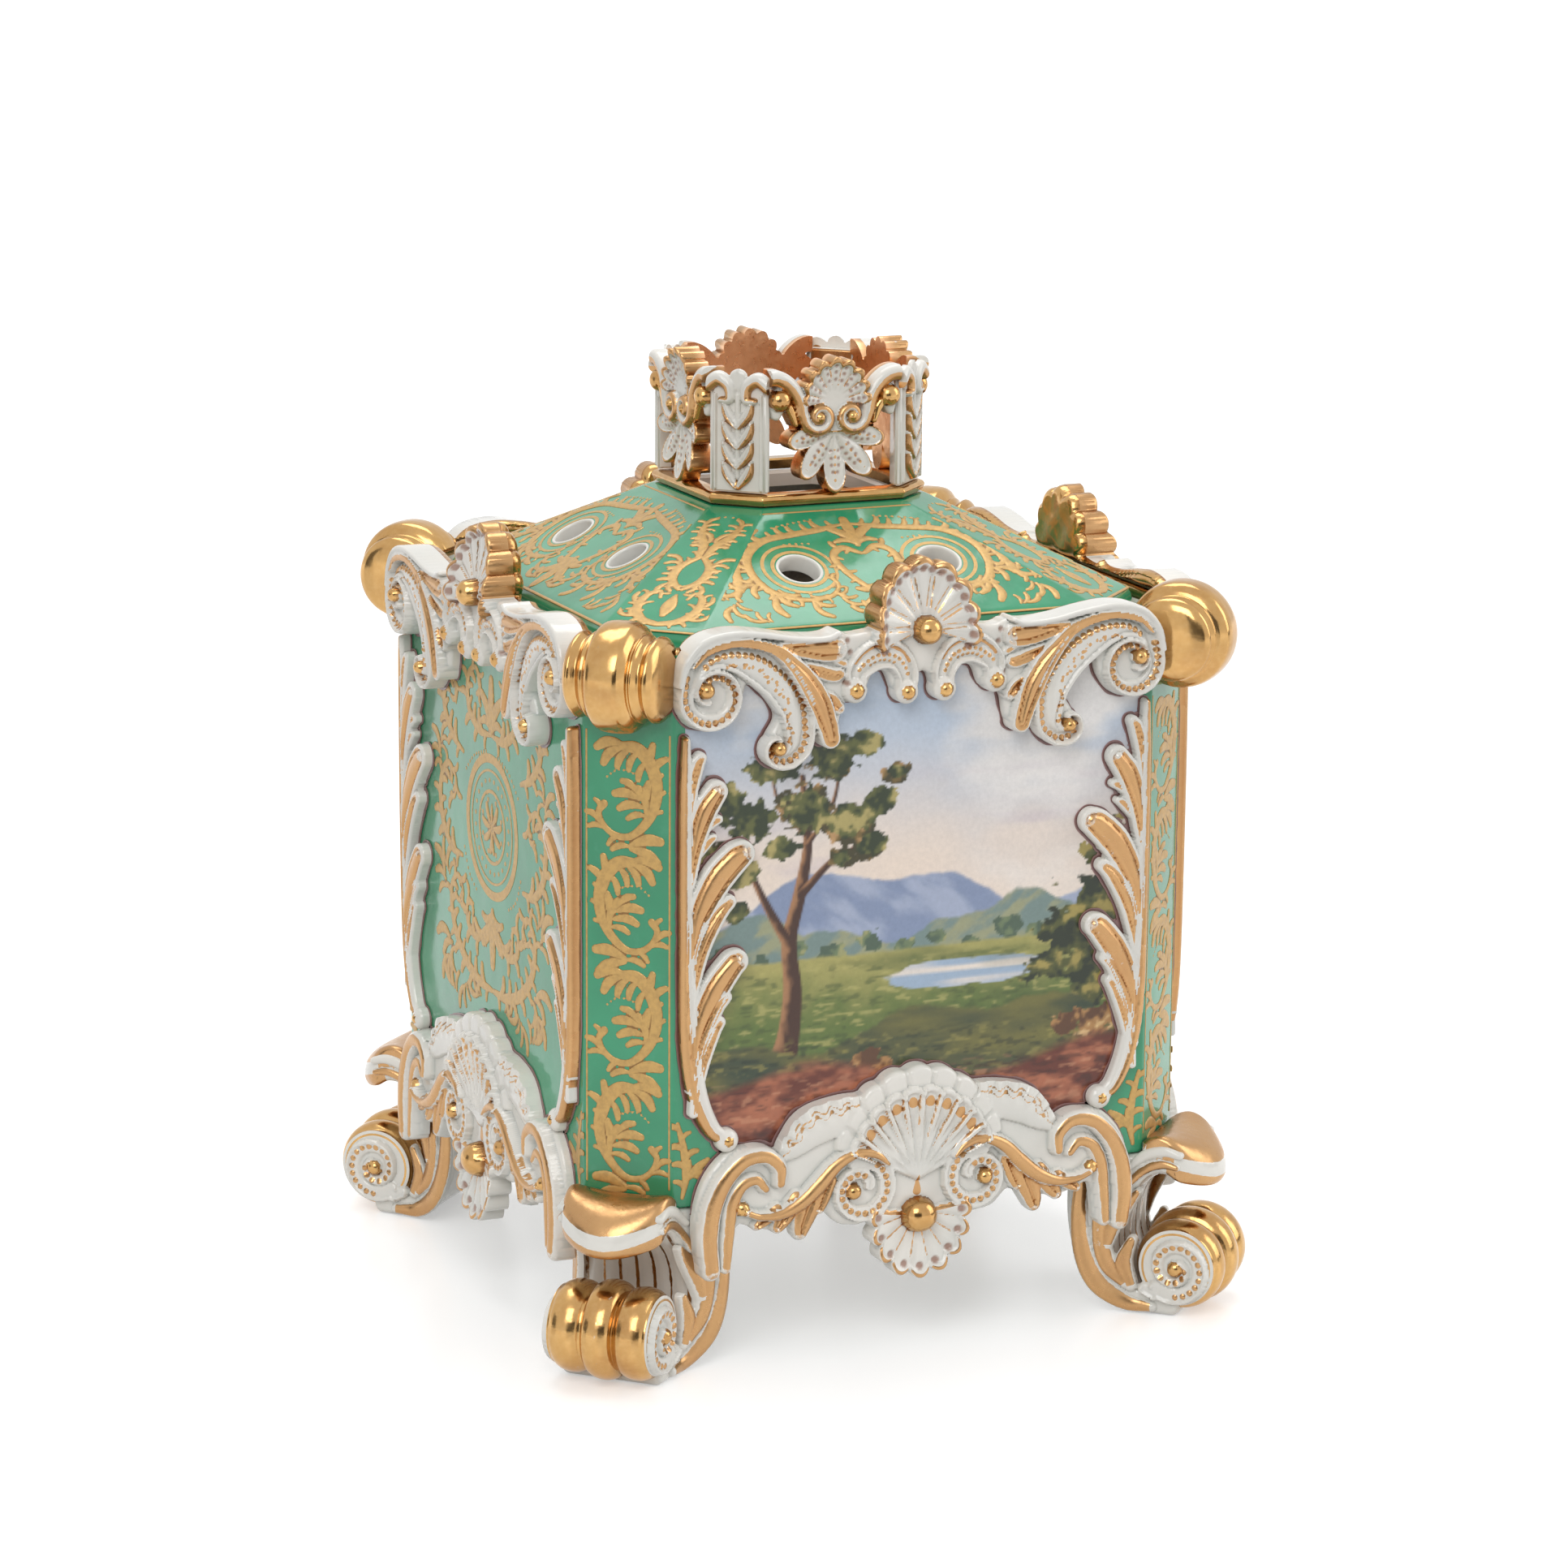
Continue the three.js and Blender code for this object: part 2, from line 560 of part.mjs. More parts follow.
function buildCase() {
  const group = new THREE.Group();
  add(group, "case_walls", caseWalls(), green);
  add(group, "case_floor", caseFloor(), porcelain);
  const faces = {
    crest: crest(),
    apron: apron(),
    leaf_strip_right: stripPlate(leafStrip()),
    leaf_strip_left: stripPlate(mirrored(leafStrip())),
  };
  const corners = { foot: [foot(), porcelain], bolster: [bolster(), gilding] };
  SIDES.forEach((side, i) => {
    for (const [name, shape] of Object.entries(faces)) {
      add(group, `${name}_${side}`, shape, porcelain, 90 * i);
    }
  });
  CORNERS.forEach((corner, i) => {
    for (const [name, [shape, material]] of Object.entries(corners)) {
      add(group, `${name}_${corner}`, shape, material, 45 + 90 * i);
    }
  });
  return group;
}

function buildCover() {
  const group = new THREE.Group();
  add(group, "cover_roof", coverRoof(), green);
  add(group, "cover_flange", coverFlange(), porcelain);
  add(group, "crown_ring", crownRing(), gilding);
  const panel = crownPanel();
  const post = crownPost();
  SIDES.forEach((side, i) => add(group, `crown_panel_${side}`, panel, porcelain, 90 * i));
  CORNERS.forEach((corner, i) => add(group, `crown_post_${corner}`, post, porcelain, 45 + 90 * i));
  return group;
}

burner.add(buildCase(), buildCover());
burner.traverse((piece) => {
  if (piece.isMesh) piece.castShadow = piece.receiveShadow = true;
});

export default burner;
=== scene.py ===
# Looks of a porcelain pastille burner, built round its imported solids. Reliefs are drawn in millimetres in the
# plane of their face (x across, y up, height outward) and become metres when their piece is built.
import json
import math
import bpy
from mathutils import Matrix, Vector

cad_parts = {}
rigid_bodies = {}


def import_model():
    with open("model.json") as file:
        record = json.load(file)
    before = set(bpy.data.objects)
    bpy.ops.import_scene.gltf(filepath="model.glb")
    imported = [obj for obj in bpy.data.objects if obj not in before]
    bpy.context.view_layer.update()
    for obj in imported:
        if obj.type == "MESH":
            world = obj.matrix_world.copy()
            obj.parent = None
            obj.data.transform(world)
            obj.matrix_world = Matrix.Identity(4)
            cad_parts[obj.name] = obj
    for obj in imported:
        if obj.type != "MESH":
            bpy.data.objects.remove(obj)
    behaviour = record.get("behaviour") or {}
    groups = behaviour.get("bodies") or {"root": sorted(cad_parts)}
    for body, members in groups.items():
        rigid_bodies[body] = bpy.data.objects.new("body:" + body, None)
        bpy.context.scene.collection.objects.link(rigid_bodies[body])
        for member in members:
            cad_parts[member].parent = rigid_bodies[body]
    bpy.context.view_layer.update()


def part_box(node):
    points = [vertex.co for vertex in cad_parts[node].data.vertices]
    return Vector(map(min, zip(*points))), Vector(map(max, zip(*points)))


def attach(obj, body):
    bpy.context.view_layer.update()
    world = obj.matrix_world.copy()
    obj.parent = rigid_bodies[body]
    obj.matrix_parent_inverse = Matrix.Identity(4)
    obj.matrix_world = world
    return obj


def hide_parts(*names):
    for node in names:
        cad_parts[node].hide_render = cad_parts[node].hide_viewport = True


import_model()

from copy import copy
from types import SimpleNamespace

import bmesh
import bpy
import numpy as np
from mathutils import Matrix, Vector
from mathutils.geometry import delaunay_2d_cdt

MM = 0.001
DEG = math.pi / 180
FAR = 60.0  # mm, for a distance to something that isn't there
SIDES = ("front", "right", "back", "left")
CORNERS = ("front_right", "back_right", "back_left", "front_left")


def span(node):
    """Lowest and highest corner of a node in millimetres."""
    return [np.array(corner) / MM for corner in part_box(node)]


# Sizes in millimetres, most of them read from the frame
WALL_LOW, WALL_HIGH = span("case_walls")
FACE_HALF = WALL_HIGH[0]
FACE_OUT = -span("apron_front")[1][1]
ROOF_LOW, ROOF_HIGH = span("cover_roof")
GALLERY_FOOT = span("crown_post_front_right")[0][2]
GALLERY_OUT = 18.3
CANT = 10.7
CORNER_OUT = (2 * FACE_HALF - CANT) / math.sqrt(2)


# Lines, as rows of x, y and half width


def spline(points, steps=7):
    p = np.array(points, float)
    p = np.vstack([2 * p[0] - p[1], p, 2 * p[-1] - p[-2]])
    t = (np.arange(steps) / steps)[:, None]
    runs = [
        b + (c - a) * t / 2 + (2 * a - 5 * b + 4 * c - d) * t**2 / 2 + (3 * b - a - 3 * c + d) * t**3 / 2
        for a, b, c, d in zip(p, p[1:], p[2:], p[3:])
    ]
    line = np.vstack([*runs, p[-2:-1]])
    line[:, 2] = np.maximum(line[:, 2], 0.05)
    return line


def spiral(centre, outer, inner, start, turn, wide, narrow, steps, fall=0.8):
    way = np.linspace(0, 1, steps + 1)
    angle = (start + turn * way) * DEG
    radius = outer + (inner - outer) * way**fall
    half = wide + (narrow - wide) * way
    return np.stack([centre[0] + radius * np.cos(angle), centre[1] + radius * np.sin(angle), half], 1)


def curved(points, steps):
    """A smooth outline through points."""
    return spline([(*p, 1) for p in points], steps)[:, :2]


def lengths(line):
    """Way travelled at each row of a line."""
    return np.concatenate([[0], np.cumsum(np.hypot(*np.diff(line[:, :2], axis=0).T))])


def offset(line, by):
    """A line moved to its left."""
    along = np.gradient(line[:, :2], axis=0)
    along /= np.maximum(np.linalg.norm(along, axis=1), 1e-9)[:, None]
    moved = line.copy()
    moved[:, :2] += np.column_stack([-along[:, 1], along[:, 0]]) * np.reshape(by, (-1, 1))
    return moved


def places(line, spacing):
    """Points at even steps along a line."""
    way = lengths(line)
    at = np.arange(spacing / 2, way[-1], spacing)
    return np.column_stack([np.interp(at, way, line[:, i]) for i in (0, 1)])


def bell(x):
    return np.sqrt(np.clip(1 - x * x, 0, 1))


def quarter(inset, radius):
    """A quarter round, from 0 at an edge to 1 at its radius inside."""
    return bell(1 - np.clip(inset / radius, 0, 1))


def ease(x, low, high):
    t = np.clip((x - low) / (high - low), 0, 1)
    return t * t * (3 - 2 * t)


def waves(x, y, size, seed):
    """Smooth noise from 0 to 1 whose waves are about size mm long."""
    table = np.random.default_rng(seed).random((64, 64))
    u, v = x / size + 32, y / size + 32
    i, j = np.floor(u).astype(int), np.floor(v).astype(int)
    s, t = ease(u - i, 0, 1), ease(v - j, 0, 1)

    def pick(a, b):
        return table[a % 64, b % 64]

    low = pick(i, j) * (1 - s) + pick(i + 1, j) * s
    high = pick(i, j + 1) * (1 - s) + pick(i + 1, j + 1) * s
    return low * (1 - t) + high * t


def cloudy(x, y, size, seed, octaves=4):
    total = sum(waves(x, y, size / 2**k, seed + k) / 2**k for k in range(octaves))
    return total / sum(1 / 2**k for k in range(octaves))


# Reliefs

NEAR = 1.8  # how far outside an edge its distance is worked out


class Relief:
    """A moulding over a grid: distance to its outline, height, distance to its gilding, and brown accents."""

    def __init__(self, left, right, bottom, top, step=0.25):
        self.step = step
        self.origin = (left, bottom)
        xs = np.arange(left, right + step / 2, step)
        ys = np.arange(bottom, top + step / 2, step)
        self.x, self.y = np.meshgrid(xs, ys)
        self.edge = np.full(self.x.shape, FAR)
        self.height = np.zeros(self.x.shape)
        self.gilt = np.full(self.x.shape, FAR)
        self.accent = np.zeros(self.x.shape)

    def like(self, **fields):
        """A copy with some of its fields changed."""
        made = copy(self)
        vars(made).update(fields)
        return made

    def lay(self, edge, height, gilt=FAR):
        """Adds a shape: inside, the highest wins; outside, the nearest."""
        bare = self.edge > 0
        take = np.where(edge < 0, bare | (height > self.height), bare & (edge < self.edge))
        self.height = np.where(take, height, self.height)
        self.gilt = np.where(take, gilt, self.gilt)
        self.edge = np.minimum(self.edge, edge)

    def window(self, low, high):
        spans = []
        for axis, size in ((1, self.x.shape[0]), (0, self.x.shape[1])):
            first = int((low[axis] - self.origin[axis]) / self.step)
            last = int((high[axis] - self.origin[axis]) / self.step) + 2
            spans.append(slice(min(max(first, 0), size), min(max(last, 0), size)))
        return tuple(spans)

    def around(self, centre, reach):
        """The part of the grid near a point, and its distance from the point."""
        w = self.window(np.array(centre) - reach, np.array(centre) + reach)
        return w, np.hypot(self.x[w] - centre[0], self.y[w] - centre[1])

    def measure(self, line):
        """Where each point lies on a ribbon; across goes from 1 at its left to -1, and way along it."""
        shape = self.x.shape
        edge = np.full(shape, FAR)
        across, way = np.ones(shape), np.zeros(shape)
        half = np.ones(shape)
        travelled = 0.0
        for a, b in zip(line[:-1], line[1:]):
            step = b - a
            length = max(math.hypot(step[0], step[1]), 1e-6)
            reach = max(a[2], b[2]) + NEAR
            w = self.window(np.minimum(a, b)[:2] - reach, np.maximum(a, b)[:2] + reach)
            px, py = self.x[w] - a[0], self.y[w] - a[1]
            t = np.clip((px * step[0] + py * step[1]) / length**2, 0, 1)
            off = np.hypot(px - t * step[0], py - t * step[1])
            wide = a[2] + step[2] * t
            closer = off - wide < edge[w]
            side = np.sign(step[0] * py - step[1] * px)
            edge[w] = np.where(closer, off - wide, edge[w])
            across[w] = np.where(closer, side * off / wide, across[w])
            way[w] = np.where(closer, travelled + t * length, way[w])
            half[w] = np.where(closer, wide, half[w])
            travelled += length
        across = np.clip(across, -1, 1)
        return SimpleNamespace(
            edge=edge, inset=-edge, across=across, way=way, half=half, left=travelled - way,
            from_left=(1 - across) * half, from_right=(1 + across) * half,
        )

    def ribbon(self, line, height, gilt=None):
        """A band along a line; a list of points is first joined by a curve."""
        m = self.measure(spline(line) if isinstance(line, list) else line)
        self.lay(m.edge, height(m), gilt(m) if gilt else FAR)

    def ribbons(self, lines, height, gilt=None):
        for line in lines:
            self.ribbon(line, height, gilt)

    def gild(self, line, rise=0.0):
        """A gilt stroke over whatever lies there, which it may raise."""
        m = self.measure(line)
        self.gilt = np.minimum(self.gilt, m.edge)
        self.height = self.height + rise * bell(m.across)

    def bead(self, centre, radius, rise):
        """A small gilt swelling on whatever lies there."""
        w, off = self.around(centre, radius + 0.5)
        self.height[w] += rise * bell(off / radius)
        self.gilt[w] = np.minimum(self.gilt[w], off - radius)

    def beads(self, line, spacing, radius, rise=0.3):
        for centre in places(line, spacing):
            self.bead(centre, radius, rise)

    def spot(self, centre, radius, depth=0.3):
        """A brown hollow in whatever lies there."""
        w, off = self.around(centre, radius + 0.5)
        self.height[w] -= depth * bell(off / radius)
        self.accent[w] = np.maximum(self.accent[w], ease(radius - off, -0.15, 0.15))

    def spots(self, centre, reach, angles, radius, depth=0.3):
        """Spots round an ellipse."""
        for angle in angles * DEG:
            across, up = reach[0] * math.cos(angle), reach[1] * math.sin(angle)
            self.spot((centre[0] + across, centre[1] + up), radius, depth)

    def fan(self, centre, spread, rise, start, end, flutes, scallop, height, gilt=None):
        """A fluted shell; lobe is 0 along the middle of a flute and 1 in the groove between two."""
        dx, dy = self.x - centre[0], self.y - centre[1]
        radius = np.maximum(np.hypot(dx, dy), 1e-3)
        angle = np.arctan2(dy, dx)
        turn = (angle / DEG - (start + end) / 2 + 180) % 360 - 180
        phase = (turn / (end - start) + 0.5) * flutes
        lobe = 2 * np.abs(phase % 1 - 0.5)
        reach = np.hypot(spread * np.cos(angle), rise * np.sin(angle)) * (1 - scallop * lobe**2)
        edge = np.maximum(radius - reach, (np.abs(turn) - (end - start) / 2) * DEG * radius)
        half = (end - start) / flutes / 2 * DEG * radius
        m = SimpleNamespace(
            edge=edge, inset=-edge, radius=radius, reach=reach, share=radius / reach, lobe=lobe,
            groove=(1 - lobe) * half, middle=lobe * half, y=self.y,
        )
        self.lay(edge, height(m), gilt(m) if gilt else FAR)

    def polygon(self, points, height):
        """A plate given by its outline."""
        inside = np.zeros(self.x.shape, bool)
        edge = np.full(self.x.shape, FAR)
        for a, b in zip(points, np.roll(points, -1, axis=0)):
            px, py = self.x - a[0], self.y - a[1]
            dx, dy = b[0] - a[0], b[1] - a[1]
            t = np.clip((px * dx + py * dy) / max(dx * dx + dy * dy, 1e-9), 0, 1)
            edge = np.minimum(edge, np.hypot(px - t * dx, py - t * dy))
            if abs(dy) > 1e-9:
                inside ^= ((a[1] > self.y) != (b[1] > self.y)) & (px < py / dy * dx)
        edge = np.where(inside, -edge, edge)
        self.lay(edge, height(SimpleNamespace(edge=edge, inset=-edge, x=self.x, y=self.y)))

    def dome(self, centre, radius, base, rise, gilt=-FAR):
        off = np.hypot(self.x - centre[0], self.y - centre[1])
        self.lay(off - radius, base + rise * bell(off / radius), gilt)

    def mirrored(self):
        """Both halves of a relief whose right half, this one, starts at x = 0."""
        def both(grid, sign=1):
            return np.hstack([sign * grid[:, :0:-1], grid])

        fields = {name: both(getattr(self, name)) for name in ("y", "edge", "height", "gilt", "accent")}
        return self.like(origin=(-self.x.max(), self.origin[1]), x=both(self.x, -1), **fields)


def smoothed(values, rounds):
    for _ in range(rounds):
        wide = np.pad(values, 1, mode="edge")
        values = (
            wide[1:-1, 1:-1] * 2 + wide[:-2, 1:-1] + wide[2:, 1:-1] + wide[1:-1, :-2] + wide[1:-1, 2:]
        ) / 6
    return values


# Meshes

LINE_HEIGHT = 0.05  # thickness of painted lines and of gilding laid on the ground colour
RELIEF_BACK = -0.15  # reliefs reach this far behind their plane, up to the wall


class Mesh:
    """Points in millimetres and faces, with values per point: gilt is the distance to the gilding, edge the
    share of the width of the umber line (painted outline and shadow), hollow the depth of a hollow (where the
    materials paint shade), accent the brown, or below 0 a rear (which takes a painted copper reflection)."""

    def __init__(self, points, faces):
        self.points = np.asarray(points, float).reshape(-1, 3)
        self.faces = [list(map(int, f)) for f in faces]
        start = {"gilt": FAR, "edge": -1.0, "hollow": 0.0, "accent": 0.0}
        self.values = {key: np.full(len(self.points), value) for key, value in start.items()}

    def moved(self, function):
        made = Mesh(function(self.points), self.faces)
        made.values = {k: v.copy() for k, v in self.values.items()}
        return made

    def turned(self, degrees):
        c, s = math.cos(degrees * DEG), math.sin(degrees * DEG)
        return self.moved(lambda p: p @ np.array([[c, s, 0], [-s, c, 0], [0, 0, 1]]))

    def flipped(self):
        """The mirror image across x = 0."""
        made = self.moved(lambda p: p * (-1, 1, 1))
        made.faces = [f[::-1] for f in made.faces]
        return made

    def added(self, *others):
        meshes = (self, *others)
        firsts = np.cumsum([0] + [len(m.points) for m in meshes])
        faces = [[i + first for i in f] for m, first in zip(meshes, firsts) for f in m.faces]
        made = Mesh(np.vstack([m.points for m in meshes]), faces)
        made.values = {k: np.concatenate([m.values[k] for m in meshes]) for k in self.values}
        return made


def filled(places_by_number, rim):
    """Triangles that fill directed edges, which keep the inside on their left; none where the edges cross."""
    border = sorted(places_by_number)
    order = {v: i for i, v in enumerate(border)}
    directed = {(order[a], order[b]) for a, b in rim}
    made = delaunay_2d_cdt([Vector(places_by_number[v]) for v in border], list(directed), [], 0, 1e-7)
    if len(made[0]) != len(border) or any(len(ids) != 1 for ids in made[3]):
        return None
    number = [ids[0] for ids in made[3]]
    triangles = [tuple(number[v] for v in face) for face in made[2]]
    owners = {}
    for i, (a, b, c) in enumerate(triangles):
        for edge in ((a, b), (b, c), (c, a)):
            owners[edge] = i
    if not all(edge in owners for edge in directed):
        return None
    inside = {owners[edge] for edge in directed}
    front = list(inside)
    while front:
        a, b, c = triangles[front.pop()]
        for p, q in ((a, b), (b, c), (c, a)):
            if (p, q) in directed or (q, p) in directed:
                continue
            other = owners.get((q, p))
            if other is not None and other not in inside:
                inside.add(other)
                front.append(other)
    return [[border[v] for v in triangles[i]] for i in sorted(inside)]


def drawn_grid(relief):
    """The grid points in use, and the points and faces of a relief's front, drawn on to its outline."""
    edge, step = relief.edge, relief.step
    inside = edge < 0
    cell = inside[:-1, :-1] | inside[1:, :-1] | inside[:-1, 1:] | inside[1:, 1:]
    used = np.zeros(inside.shape, bool)
    for rows in (slice(None, -1), slice(1, None)):
        for cols in (slice(None, -1), slice(1, None)):
            used[rows, cols] |= cell
    slope_y, slope_x = np.gradient(edge, step)
    norm = np.maximum(np.hypot(slope_x, slope_y), 0.5)
    shift = np.where(used & ~inside, np.clip(edge / norm, 0, 1.45 * step), 0)
    x = relief.x - shift * slope_x / norm
    y = relief.y - shift * slope_y / norm
    index = np.full(inside.shape, -1)
    index[used] = np.arange(used.sum())
    corners = np.stack([index[:-1, :-1], index[:-1, 1:], index[1:, 1:], index[1:, :-1]], -1)[cell]
    return used, np.stack([x[used], y[used], relief.height[used]], 1), corners


def relief_mesh(relief, back, back_gilt=FAR, line=None):
    """A closed mesh of a relief; back is the depth of its rear, line the width of the umber line round it, a
    painted outline and shadow.
    """
    used, points, corners = drawn_grid(relief)
    count = len(points)
    starts, ends = corners.ravel(), np.roll(corners, -1, axis=1).ravel()
    forward = set(zip(starts.tolist(), ends.tolist()))
    rim = sorted((a, b) for a, b in forward if (b, a) not in forward)
    border = sorted({v for pair in rim for v in pair})
    fill = filled({v: points[v, :2] for v in border}, rim)
    if fill is None:
        border, fill = list(range(count)), corners.tolist()
    below = {v: count + i for i, v in enumerate(border)}
    depth = back(points[border, 0], points[border, 1]) if callable(back) else np.full(len(border), back)
    rear = np.column_stack([points[border, :2], depth])
    walls = [[b, a, below[a], below[b]] for a, b in rim]
    closing = [[below[v] for v in face[::-1]] for face in fill]
    mesh = Mesh(np.vstack([points, rear]), corners.tolist() + walls + closing)
    level = np.zeros(len(border))
    for key, front, behind in (
        ("gilt", relief.gilt, np.where(back_gilt < 0, back_gilt, relief.gilt[used][border])),
        ("hollow", smoothed(relief.height, 7) - relief.height, level),
        ("accent", relief.accent, level + min(back_gilt, 0)),
    ):
        mesh.values[key] = np.concatenate([front[used], behind])
    return mesh.added(outline_and_shade_plate(relief, line)) if line else mesh


def outline_and_shade_plate(relief, line):
    """The umber line round a relief, a painted outline and painted contact shadow, as a thin plate; line gives
    its width.
    """
    edge, width = relief.edge, line(relief.x, relief.y)
    level = np.zeros(edge.shape)
    mesh = relief_mesh(relief.like(
        edge=np.where(width > 0.05, np.maximum(edge - width, -edge - 0.3), FAR), height=level + LINE_HEIGHT,
        gilt=np.clip(edge / np.maximum(width, 0.05), 0.01, 1), accent=level,
    ), RELIEF_BACK)
    mesh.values["edge"] = mesh.values["gilt"]
    mesh.values["gilt"] = np.full(len(mesh.points), FAR)
    return mesh


def on_face(mesh, out):
    """Stands a relief up on the front face: depth points along -Y."""
    return mesh.moved(lambda p: np.column_stack([p[:, 0], -(out + p[:, 2]), p[:, 1]]))


def mesh_object(name, points, faces, material=None):
    """A mesh object in the scene, its points taken as they are."""
    data = bpy.data.meshes.new(name)
    data.from_pydata(points, [], faces)
    if material:
        data.materials.append(material)
    made = bpy.data.objects.new(name, data)
    bpy.context.scene.collection.objects.link(made)
    return made


def build(name, mesh, material, body, replaces=(), sharp=50, colours=None):
    """Makes a piece with its material and ties it to its body and to the solids that it takes the place of."""
    piece = mesh_object(name, (mesh.points * MM).tolist(), mesh.faces, material)
    data = piece.data
    for key, values in mesh.values.items():
        data.attributes.new(key, "FLOAT", "POINT").data.foreach_set("value", values.astype(np.float32))
    if colours is not None:
        rgba = np.column_stack([colours, np.ones(len(colours))]).astype(np.float32)
        data.attributes.new("paint", "FLOAT_COLOR", "POINT").data.foreach_set("color", rgba.ravel())
    data.polygons.foreach_set("use_smooth", np.ones(len(data.polygons), bool))
    data.set_sharp_from_angle(angle=sharp * DEG)
    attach(piece, body)
    if replaces:
        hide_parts(*replaces)


def build_round(name, mesh, body, node=None, ends=SIDES, material=None, sharp=50):
    """One copy of a piece to each side or corner, in place of the solid there."""
    first = 45 if ends is CORNERS else 0
    for i, end in enumerate(ends):
        replaced = [f"{node}_{end}"] if node else ()
        turned = mesh.turned(first + 90 * i)
        build(f"{name}_{end}", turned, material or MATERIALS.relief, body, replaced, sharp)


# Materials


class Graph:
    """The node tree of a new material or world, built by calls that return sockets."""

    def __init__(self, name, kind="materials"):
        self.owner = getattr(bpy.data, kind).new(name)
        self.owner.use_nodes = True
        self.tree = self.owner.node_tree
        self.tree.nodes.clear()

    def node(self, kind, inputs=(), **settings):
        made = self.tree.nodes.new(kind)
        for key, value in settings.items():
            setattr(made, key, value)
        for key, value in dict(inputs).items():
            socket = made.inputs[key]
            if isinstance(value, bpy.types.NodeSocket):
                self.tree.links.new(value, socket)
            elif socket.type == "RGBA":
                socket.default_value = (*value, 1)
            else:
                socket.default_value = value
        return made

    def math(self, operation, a, b, clamp=False):
        return self.node("ShaderNodeMath", {0: a, 1: b}, operation=operation, use_clamp=clamp).outputs[0]

    def add(self, a, b):
        return self.math("ADD", a, b)

    def minus(self, a, b):
        return self.math("SUBTRACT", a, b)

    def times(self, a, b):
        return self.math("MULTIPLY", a, b)

    def mix(self, factor, a, b):
        return self.node("ShaderNodeMix", {0: factor, 6: a, 7: b}, data_type="RGBA").outputs[2]

    def attribute(self, name, output="Fac"):
        return self.node("ShaderNodeAttribute", attribute_name=name).outputs[output]

    def place(self):
        """Position on the object in millimetres."""
        found = self.node("ShaderNodeTexCoord").outputs["Object"]
        scale = {0: found, 1: (1 / MM, 1 / MM, 1 / MM)}
        return self.node("ShaderNodeVectorMath", scale, operation="MULTIPLY").outputs[0]

    def noise(self, scale, detail, rough=0.5):
        """Noise from about 0 to 1 whose features are 1/scale mm wide."""
        return self.node("ShaderNodeTexNoise", {
            "Vector": self.place(), "Scale": scale, "Detail": detail, "Roughness": rough,
        }).outputs["Fac"]

    def ramp(self, value, low, high, bottom=0.0, top=1.0):
        return self.node("ShaderNodeMapRange", {
            "Value": value, "From Min": low, "From Max": high, "To Min": bottom, "To Max": top,
        }, clamp=True).outputs[0]

    def patches(self, scale, detail, low, high, bottom=0.0, top=1.0, rough=0.5):
        """Noise stretched between two of its levels."""
        return self.ramp(self.noise(scale, detail, rough), low, high, bottom, top)

    def bump(self, height, distance, strength=0.6):
        return self.node("ShaderNodeBump", {
            "Height": height, "Distance": distance * MM, "Strength": strength,
        }).outputs["Normal"]

    def ripple(self, broad, fine, share, distance, strength=0.5):
        """Unevenness of a glaze: broad waves and a share of fine ones."""
        height = self.add(self.noise(broad, 2), self.times(self.noise(fine, 2), share))
        return self.bump(height, distance, strength)

    def finish(self, **sockets):
        names = {key.replace("_", " ").title().replace("Ior", "IOR"): v for key, v in sockets.items()}
        shader = self.node("ShaderNodeBsdfPrincipled", names)
        self.node("ShaderNodeOutputMaterial", {"Surface": shader.outputs[0]})
        return self.owner


WHITE = (0.82, 0.79, 0.73)
# Greyer white: random patches of the glaze, and painted shade in hollows
SHADED_WHITE = (0.52, 0.55, 0.525)
GOLD = (0.58, 0.345, 0.13)
# Deep gold: random darker patches of the gilding, and painted shade in hollows
DEEP_GOLD = (0.36, 0.165, 0.06)
PALE_GOLD = (0.76, 0.53, 0.26)
TAN_GOLD = (0.49, 0.285, 0.14)
# Copper tint on the inside of the crown: painted reflection of the gilding round it
REFLECTED_COPPER_GOLD = (0.86, 0.50, 0.27)
# Umber line round the reliefs: a painted outline and painted contact shadow in one
UMBER = (0.12, 0.05, 0.045)
MAUVE = (0.30, 0.165, 0.155)  # the same line's paler outer side, where its painted shadow fades
RED_BROWN = (0.33, 0.15, 0.09)
GREEN = (0.038, 0.335, 0.165)
DEEP_GREEN = (0.022, 0.245, 0.115)
PALE_GREEN = (0.10, 0.42, 0.26)
DARK_GREEN = (0.02, 0.13, 0.07)
SPECK = (0.42, 0.36, 0.28)
WORN_GOLD = (0.50, 0.36, 0.22)
MATT_GOLD = (0.58, 0.36, 0.12)
THIN_GOLD = (0.44, 0.27, 0.095)
# Brown of the creases in painted gilding: painted shade, standing also for brown veins between lobes
VEIN_AND_SHADE_BROWN = (0.20, 0.10, 0.03)
GLAZE_IOR = 1.52


def gold_colour(g):
    tint = g.mix(g.patches(0.13, 3, 0.42, 0.75, 0, 0.6), GOLD, DEEP_GOLD)
    return g.mix(g.times(g.patches(1.1, 2, 0.4, 0.75), 0.18), tint, PALE_GOLD)


def porcelain_colour(g, hollow=None):
    # The glaze greyer in random patches
    tint = g.mix(g.patches(0.05, 2, 0.35, 0.7, 0, 0.35), WHITE, SHADED_WHITE)
    if hollow is not None:
        # Greyer in hollows: glaze pooling there, and painted shade
        tint = g.mix(g.ramp(hollow, 0.02, 0.5, 0, 0.55), tint, SHADED_WHITE)
    return g.mix(g.patches(2.2, 2, 0.78, 0.84, 0, 0.35), tint, SPECK)


